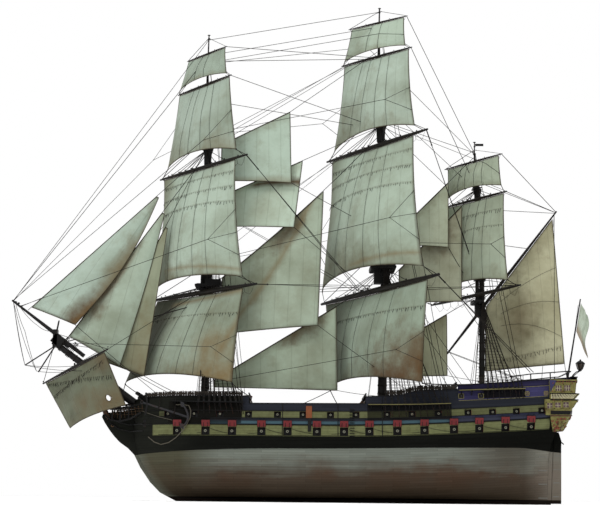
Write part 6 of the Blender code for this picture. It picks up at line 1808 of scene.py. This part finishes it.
# Figurehead, cheeks, hawse holes, bumpkins and the netting of the head.
def buildHead():
    work = Shape()
    figure = [((-708, 0, 222), 5.0), ((-717, 0, 232), 7.0), ((-723, 0, 243), 7.6), ((-727, 0, 252), 6.4), ((-728, 0, 259), 4.2),
              ((-728.5, 0, 263), 3.2), ((-729, 0, 268), 5.2), ((-730, 0, 273), 4.6), ((-730, 0, 277), 1.6)]
    work.tube([p for p, r in figure], [r for p, r in figure], 10, 1)
    for side in (-1, 1):
        work.tube([(-727, side * 5, 256), (-722, side * 10, 248), (-727, side * 8, 241)], [2.2, 2.0, 1.6], 6, 1)
        scroll(work, Vector((-716, side * 6, 226)), Vector((0, side, 0)), 6.0, 1.0, 2)
        scroll(work, Vector((-702, side * 6, 206)), Vector((0, side, 0)), 5.0, 3.0, 2)
        for start, radius in ((206, 2.0), (188, 1.8)):
            line = [onHull(-606, start, side, 1), onHull(-622, start + 1, side, 1), Vector((-650, side * 17, start + 1)),
                    Vector((-684, side * 8, start + 9)), Vector((-706, side * 6.5, start + 24))]
            work.tube(line, radius, 6, 0)
        for z in (203, 214):
            spot = onHull(-600, z, side, 0)
            across = (onHull(-600, z, side, 5) - spot).normalized()
            work.turned(spot - across, spot + across * 1.4, [(0, 6.0), (1, 5.0)], 12, 3)
            work.turned(spot + across * 1.1, spot + across * 1.6, [(0, 3.4), (1, 3.4)], 10, 0)
        work.tube([(-650, side * 40, 262), (-676, side * 56, 258), (-700, side * 66, 250)], [3.0, 2.6, 2.2], 8, 0)
        for n in range(9):
            x = -612 - 11 * n
            top = (x, side * (82 - 0.66 * (-612 - x)), 262 - 0.08 * (-612 - x))
            low = (x + 3, side * max(8, 60 - 0.62 * (-612 - x)), 226)
            work.tube([top, low], 0.6, 4, 2)
        for z in (236, 243, 250):
            work.tube([(-608, side * (70 + (z - 236) * 0.8), z), (-664, side * (34 + (z - 236) * 0.5), z - 2), (-706, side * 10, z + 2)], 0.5, 4, 2)
        # timber heads and seats on the floor of the head
        for x, y in ((-640, 30), (-662, 22), (-684, 14)):
            work.box((x, side * y, 257), (5, 5, 9), 0)
        cat = [Vector((-592, side * 84, 270)), Vector((-622, side * 128, 288))]
        work.bar(cat, 7.4, 7.4, 0)
        for share in (0.8, 0.9):
            spot = cat[0].lerp(cat[1], share)
            work.turned(spot + Vector((0, 0, -4.4)), spot + Vector((0, 0, 4.4)), [(0, 2.0), (1, 2.0)], 8, 3)
        work.bar([Vector((-600, side * 92, 262)), Vector((-616, side * 116, 278))], 4, 5, 0)
    work.make("head_trim", [blackPaint, brownWood, carvedWood, ironWork])


# Anchors lashed at the bows with the cable's loop.
def buildAnchors():
    work = Shape()
    for side in (-1, 1):
        ring, crown = Vector((-603, side * 124, 262)), onHull(-478, 222, side, 13)
        run = (crown - ring).normalized()
        work.tube([ring, crown], [2.4, 3.2], 8, 0)
        loop = [ring - run * 4 + Vector((math.cos(t) * 4, 0, math.sin(t) * 4)) for t in np.linspace(0, 2 * math.pi, 11)]
        work.tube(loop, 0.8, 5, 0)
        for s in (-1, 1):
            arm = [crown]
            for t in (0.3, 0.6, 0.85, 1.0):
                spot = crown - run * (22 * t * t) + Vector((0, 0, s * 34 * t))
                spot.y = side * (max(abs(spot.y), halfBreadth(spot.x, spot.z) + 5))
                arm.append(spot)
            work.tube(arm, [3.4, 3.0, 2.6, 2.2, 1.0], 8, 0)
            bill = arm[-2]
            work.box(bill - run * 2, (11, 1.6, 13), 0, (run, Vector((0, side, 0)), Vector((0, 0, 1))))
        stock = ring + run * 12
        for lift in (-1, 1):
            work.bar([stock, stock + Vector((-4, side * 4, lift * 30))], 4.6, 4.6, 1, (1, 0, 0))
        for share in (0.35, 0.7):
            spot = ring.lerp(crown, share)
            work.turned(spot - run * 2, spot + run * 2, [(0, 3.7), (1, 3.7)], 8, 2)
            rope(work, [spot, railSpot(spot.x, side)], 0.7, slot=2)
    # a grey cable that hangs in a loop on the port side, and the line before it
    cable = [(-516, 256.5, 4), (-496, 257, 8), (-478, 254, 8), (-472, 240, 8), (-473, 222, 6), (-481, 205, 5), (-492, 187, 5),
             (-510, 168, 4), (-530, 155, 4), (-552, 150, 4), (-572, 157, 4), (-590, 171, 4)]
    line = [onHull(x, z, -1, out) for x, z, out in cable]
    smooth = [line[i].lerp(line[i + 1], t) for i in range(len(line) - 1) for t in (0, 0.5)] + [line[-1]]
    work.tube(smooth, 1.3, 6, 3)
    work.tube([onHull(x, z, -1, 3) for x, z in ((-611, 242), (-590, 234), (-560, 224), (-522, 214.7))], 0.8, 5, 3)
    work.make("anchors", [gunIron, blackPaint, tarRope, hempRope])


buildHead()
buildAnchors()
print("head and anchors built")


# Steps, fenders, the orange board, small ports and windows, straps under the stern.
def buildSides():
    work = Shape()
    for side in (-1, 1):
        for i in range(11):
            z = 176 + 7.2 * i
            work.box(onHull(-37.6, z, side, 1.0), (13, 4.2, 1.6), 0)
        for x in (-225, -75.5, 44):
            work.tube([onHull(x, z, side, 1.0) for z in np.linspace(176, railAt(x) - 2, 9)], 1.1, 5, 0)
        work.bar([onHull(-153.7, z, side, 1.6) for z in (256.5, 240, 223.7)], 16, 2.2, 1, (0, -side, 0))
        work.bar([onHull(-152, z, side, 2.6) for z in (223, 205, 187)], 9, 3.0, 0, (0, -side, 0))
        for x, z in gunPorts["quarter"][:2]:
            middle = onHull(x, z, side, 0.4)
            work.box(middle, (13, 1.6, 11), 0)
            for s in (-1, 1):
                work.box(middle + Vector((s * 7, side * 0.4, 0)), (1.3, 1.8, 13), 3)
                work.box(middle + Vector((0, side * 0.4, s * 6)), (14, 1.8, 1.3), 3)
            work.turned(middle, middle + Vector((0, side * 8, 0)), [(0, 2.8), (0.7, 2.2), (0.75, 2.8), (1, 2.6)], 10, 2)
        for x, z in ((441, 298), (494, 300)):
            middle = onHull(x, z, side, 0.3)
            work.box(middle, (9.5, 1.4, 9.5), 4)
            for s in (-1, 1):
                work.box(middle + Vector((s * 5.4, side * 0.3, 0)), (1.5, 1.8, 12.3), 3)
                work.box(middle + Vector((0, side * 0.3, s * 5.4)), (12.3, 1.8, 1.5), 3)
            work.box(middle + Vector((0, side * 0.3, 0)), (0.9, 1.8, 9.5), 3)
            work.box(middle + Vector((0, side * 0.3, 0)), (9.5, 1.8, 0.9), 3)
        for z in (130, 93, 56, 18):
            work.bar([onHull(x, z, side, 0.7) for x in (484, 493, 502, 510)], 0.9, 2.2, 5)
        # tackles between the lower ports and drip mouldings over the upper ones
        for x, after in zip(gunPorts["lower"], gunPorts["lower"][1:]):
            ends = [onHull(x + 12, lowerPortLine(x) + 5, side, 1), onHull(after - 12, lowerPortLine(after) - 7, side, 1)]
            rope(work, ends if int(x) % 2 else [ends[0] - Vector((0, 0, 12)), ends[1]], 0.28, 1.5, 0, 3)
        for x in gunPorts["upper"]:
            top = onHull(x, upperPortLine(x) + 9.4, side, 0.7)
            work.bar([top - Vector((9, 0, 0)), top + Vector((9, 0, 0))], 1.6, 0.9, 0)
    work.make("side_fittings", [blackPaint, orangeWood, gunIron, ochrePaint, paneGlass, lightIron])
    straps = Shape()
    wide = max(v.co.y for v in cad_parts["rudder"].data.vertices) / mm
    for z in (134, 97, 60, 22):
        for s in (-1, 1):
            straps.box((534 + 0.05 * (z - 16), s * (wide + 0.2), z), (18, 0.9, 2.4), 0)
    straps.tube([(548, 0, 176), (560, 0, 166)], [2.0, 1.4], 8, 1)
    straps.make("rudder_straps", [lightIron, blackPaint], body="rudder")


buildSides()
print("sides fitted out")


# Hammocks in their nettings, and the crowd of gear along the rails.
def buildNettings():
    work = Shape()
    for side in (-1, 1):
        for first, last, high in ((-604, -334, 11), (58, 244, 12)):
            count = int((last - first) / 6.2)
            for i in range(count):
                x = first + (last - first) * (i + 0.5) / count
                seat = railSpot(x, side, 3.5) + Vector((0, 0, 0.6))
                lean = Vector((rng.uniform(-1.5, 1.5), rng.uniform(-0.8, 0.8), high + rng.uniform(-1.8, 1.8)))
                work.tube([seat, seat + lean * 0.5, seat + lean], [2.6, 3.5, 2.2], 7, 0)
            for s in (-1, 1):
                for lift in (4, 8, high):
                    line = [railSpot(x, side, 3.5 + s * 4.4) + Vector((0, 0, lift)) for x in np.linspace(first, last, 22)]
                    work.tube(line, 0.4, 3, 1)
            for x in np.linspace(first, last, int((last - first) / 24)):
                for s in (-1, 1):
                    foot = railSpot(x, side, 3.5 + s * 4.4)
                    work.tube([foot, foot + Vector((0, 0, high + 3))], 0.7, 4, 2)
        # open netting on the poop's bulwark, beside the mizzen shrouds
        xs = np.linspace(306, 432, 19)
        for x in xs:
            foot = railSpot(x, side, 2.5)
            work.tube([foot, foot + Vector((0, 0, 17))], 0.55, 4, 2)
        for lift in (4, 8, 12, 17):
            work.tube([railSpot(x, side, 2.5) + Vector((0, 0, lift)) for x in xs], 0.4, 3, 1)
        for i, x in enumerate(np.linspace(308, 428, 12)):
            foot = railSpot(x, side, 2.5)
            work.ball(foot + Vector((0, 0, 3 + rng.uniform(0, 2))), rng.uniform(1.8, 2.8), 0, 6)
        # timber heads along the forecastle and stanchions of the breast rails
        for x in np.linspace(-626, -606, 4):
            foot = railSpot(x, side, 3)
            work.box(foot + Vector((0, 0, 4)), (4, 4, 8), 3)
    for x, z, half in ((-318, 283, 96), (2, 284, 104), (251, 318, 92)):
        for y in np.linspace(-half, half, 15):
            work.tube([(x, y, z - 18), (x, y, z + 9)], 1.0, 5, 3)
        work.bar([(x, -half, z + 10), (x, half, z + 10)], 3.6, 2.4, 3)
    for x0, x1, z in ((60, 90, 276),):
        work.bar([(x0, -18, z + 14), (x1, -18, z + 14)], 3, 2, 3)
        work.bar([(x0, 18, z + 14), (x1, 18, z + 14)], 3, 2, 3)
    work.make("nettings", [coverCloth, netCord, ironWork, blackPaint])


# Gratings, ladders, belfry, capstan, wheel, boat and deck guns.
def buildDecks():
    work = Shape()

    def grating(x, y, z, long, wide):
        for s in (-1, 1):
            work.box((x + s * long / 2, y, z + 2), (3, wide + 3, 4), 0)
            work.box((x, y + s * wide / 2, z + 2), (long + 3, 3, 4), 0)
        work.box((x, y, z + 0.6), (long, wide, 0.8), 1)
        for px in np.arange(x - long / 2 + 3, x + long / 2 - 1, 4.2):
            work.box((px, y, z + 3), (1.5, wide, 1.6), 0)
        for py in np.arange(y - wide / 2 + 3, y + wide / 2 - 1, 4.2):
            work.box((x, py, z + 3.2), (long, 1.5, 1.2), 0)

    def ladder(x0, z0, x1, z1, y):
        for s in (-1, 1):
            work.bar([(x0, y + s * 10, z0), (x1, y + s * 10, z1)], 1.6, 4, 0)
        count = int((z1 - z0) / 5)
        for i in range(1, count):
            t = i / count
            work.box((x0 + (x1 - x0) * t, y, z0 + (z1 - z0) * t), (5, 20, 1.2), 0)

    def cannon(x, side, z, reach):
        y = side * (halfBreadth(x, z + 8) - 22)
        work.box((x, y, z + 3.6), (9, 20, 4.6), 3)
        for dy in (-6, 6):
            for dx in (-4.6, 4.6):
                work.turned((x + dx - 0.9, y + dy, z + 2), (x + dx + 0.9, y + dy, z + 2), [(0, 2.2), (1, 2.2)], 8, 1)
        barrel = [(0, 1.2), (0.06, 3.4), (0.5, 2.9), (0.55, 2.5), (0.94, 2.0), (0.97, 2.7), (1, 2.4)]
        work.turned((x, y - side * 12, z + 8.4), (x, y + side * reach, z + 8.4), barrel, 10, 2)

    for x, long in ((-262, 40), (-205, 40), (-56, 36)):
        grating(x, 0, 246, long, 34)
    grating(-372, 0, 264, 30, 26)
    grating(120, 0, 276, 34, 28)
    ladder(-40, 247, -6, 275, 62)
    ladder(-40, 247, -6, 275, -62)
    ladder(-276, 247, -312, 263, 58)
    ladder(-276, 247, -312, 263, -58)
    ladder(216, 277, 248, 304, 56)
    ladder(216, 277, 248, 304, -56)
    for x in (-300, -245, -185, -120, -60):
        for side in (-1, 1):
            cannon(x, side, 246, 16)
    for x in (30, 95, 160, 220):
        for side in (-1, 1):
            cannon(x, side, 276, 14)
    for x in (285, 330, 520):
        for side in (-1, 1):
            cannon(x, side, 305, 12)
    # boat on its chocks in the waist
    rings = []
    for i in range(15):
        t = i / 14
        half = 17 * math.sin(math.pi * min(1, 0.12 + t * 0.95)) ** 0.6
        half = max(0.6, half * (1 - max(0, t - 0.8) * 2.4))
        rise = 3.5 * (2 * t - 1) ** 2
        x = -190 + 110 * t
        ring = [(x, -half, 260 + rise), (x, -half * 0.86, 253 + rise), (x, -half * 0.4, 249.4 + rise * 0.8), (x, 0, 248.6 + rise * 0.8),
                (x, half * 0.4, 249.4 + rise * 0.8), (x, half * 0.86, 253 + rise), (x, half, 260 + rise)]
        inner = [(px, py * 0.9, pz + 0.8) for px, py, pz in ring[::-1]]
        rings.append(ring + inner)
    work.loft(rings, 4, closed=True, smooth=False, caps=True)
    for t in (0.25, 0.42, 0.58, 0.74):
        work.box((-190 + 110 * t, 0, 257.6), (5, 30, 1.2), 0)
    for x in (-160, -112):
        work.box((x, 0, 247.6), (5, 30, 3), 0)
    # belfry
    for x in (-332, -316):
        for y in (-9, 9):
            work.bar([(x, y, 264), (x, y, 289)], 2.2, 2.2, 3, (1, 0, 0))
    work.box((-324, 0, 290.4), (24, 26, 2.6), 3)
    work.box((-324, 0, 292.6), (17, 18, 2.4), 3)
    work.turned((-324, 0, 275), (-324, 0, 286), [(0, 6.0), (0.12, 5.4), (0.5, 3.8), (0.85, 3.0), (1, 1.2)], 12, 5)
    # capstan and steering wheel
    work.turned((165, 0, 276), (165, 0, 296), [(0, 9), (0.1, 9), (0.14, 5.5), (0.6, 4.6), (0.66, 9.5), (0.9, 9.5), (1, 7)], 14, 3)
    for k in range(8):
        turn = math.pi * k / 4
        work.bar([(165 + math.cos(turn) * 7, math.sin(turn) * 7, 291.4), (165 + math.cos(turn) * 24, math.sin(turn) * 24, 291.4)], 1.8, 1.8, 0)
    for x in (232, 239):
        circle = [(x, math.cos(t) * 8.5, 289 + math.sin(t) * 8.5) for t in np.linspace(0, 2 * math.pi, 17)]
        work.tube(circle, 0.9, 5, 0)
        for k in range(8):
            turn = math.pi * k / 4
            work.tube([(x, math.cos(turn), 289 + math.sin(turn)), (x, math.cos(turn) * 12, 289 + math.sin(turn) * 12)], 0.55, 4, 0)
    work.turned((230, 0, 289), (241, 0, 289), [(0, 2), (0.1, 2.6), (0.9, 2.6), (1, 2)], 10, 0)
    for x in (229, 242):
        work.bar([(x, 0, 276), (x, 0, 290)], 2.0, 4.0, 0, (0, 1, 0))
    # skylight and companion on the poop, racks of pins round the masts
    work.box((470, 0, 312), (40, 24, 14), 3)
    work.box((470, 0, 320), (44, 28, 2.4), 0)
    work.box((392, 0, 313), (18, 20, 16), 3)
    for mast, shape in masts.items():
        x, z = shape["x"], shape["foot"]
        span = shape["lower"] + 13
        for side in (-1, 1):
            work.bar([(x - span, side * span, z + 13), (x + span, side * span, z + 13)], 3.4, 2.2, 3)
            for dx in (-1, 1):
                work.bar([(x + dx * span, side * span, z), (x + dx * span, side * span, z + 14)], 2.6, 2.6, 3, (1, 0, 0))
            for i in range(6):
                px = x - span + 2 * span * (i + 0.5) / 6
                work.turned((px, side * span, z + 9), (px, side * span, z + 19), [(0, 0.7), (0.5, 0.8), (0.55, 1.3), (0.8, 1.2), (1, 0.6)], 6, 0)
        work.turned((x, 0, z - 0.4), (x, 0, z + 4), [(0, shape["lower"] + 3.5), (0.7, shape["lower"] + 3), (1, shape["lower"] + 1)], 14, 3)
    work.make("deck_fittings", [brownWood, blackPaint, gunIron, redBrown, greyPaint, brassWork])


buildNettings()
buildDecks()
print("decks fitted out")


def buildStudio():
    floor = Shape()
    span = 40000
    floor.add([(-span, -span, -0.5), (span, -span, -0.5), (span, span, -0.5), (-span, span, -0.5)], [(0, 1, 2, 3)])
    paint = Paint("floor_paper", 0.9)
    cloud = paint.noise(paint.place(), 2.0)
    paper = paint.feed(paint.mix(cloud * 0.2, (0.985, 0.985, 0.985, 1), (0.97, 0.97, 0.97, 1)))
    mesh = bpy.data.meshes.new("floor")
    mesh.from_pydata([tuple(c * mm for c in p) for p in floor.points], [], floor.faces)
    mesh.materials.append(paper)
    sheet = bpy.data.objects.new("floor", mesh)
    bpy.context.scene.collection.objects.link(sheet)
    bpy.context.scene.view_settings.view_transform = "Standard"
    world = bpy.context.scene.world or bpy.data.worlds.new("studio")
    bpy.context.scene.world = world
    world.use_nodes = True
    world.node_tree.nodes["Background"].inputs["Color"].default_value = (1.0, 1.0, 1.0, 1.0)
    world.node_tree.nodes["Background"].inputs["Strength"].default_value = 1.0
    for name, place, size, power in (("key", (-1.6, -2.6, 3.4), 1.6, 60.0), ("top", (0.6, 0.4, 4.2), 2.4, 30.0)):
        lamp = bpy.data.lights.new(name, "AREA")
        lamp.energy = power
        lamp.size = size
        held = bpy.data.objects.new(name, lamp)
        bpy.context.scene.collection.objects.link(held)
        held.location = place
        held.rotation_mode = "QUATERNION"
        held.rotation_quaternion = (Vector((0, 0, 0.5)) - Vector(place)).to_track_quat("-Z", "Y")


buildStudio()
print("studio ready")


# Solids that stay in sight.
finishOf = {"keel": keelPaint, "rudder": keelPaint, "stern_gallery": galleryPaint, "beakhead": blackPaint,
            "poop_rail": blackPaint}
for name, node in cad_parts.items():
    finish = finishOf.get(name, sparPaint)
    if name.endswith("stay"):
        finish = tarRope
    node.data.materials.clear()
    node.data.materials.append(finish)
print("solids painted")
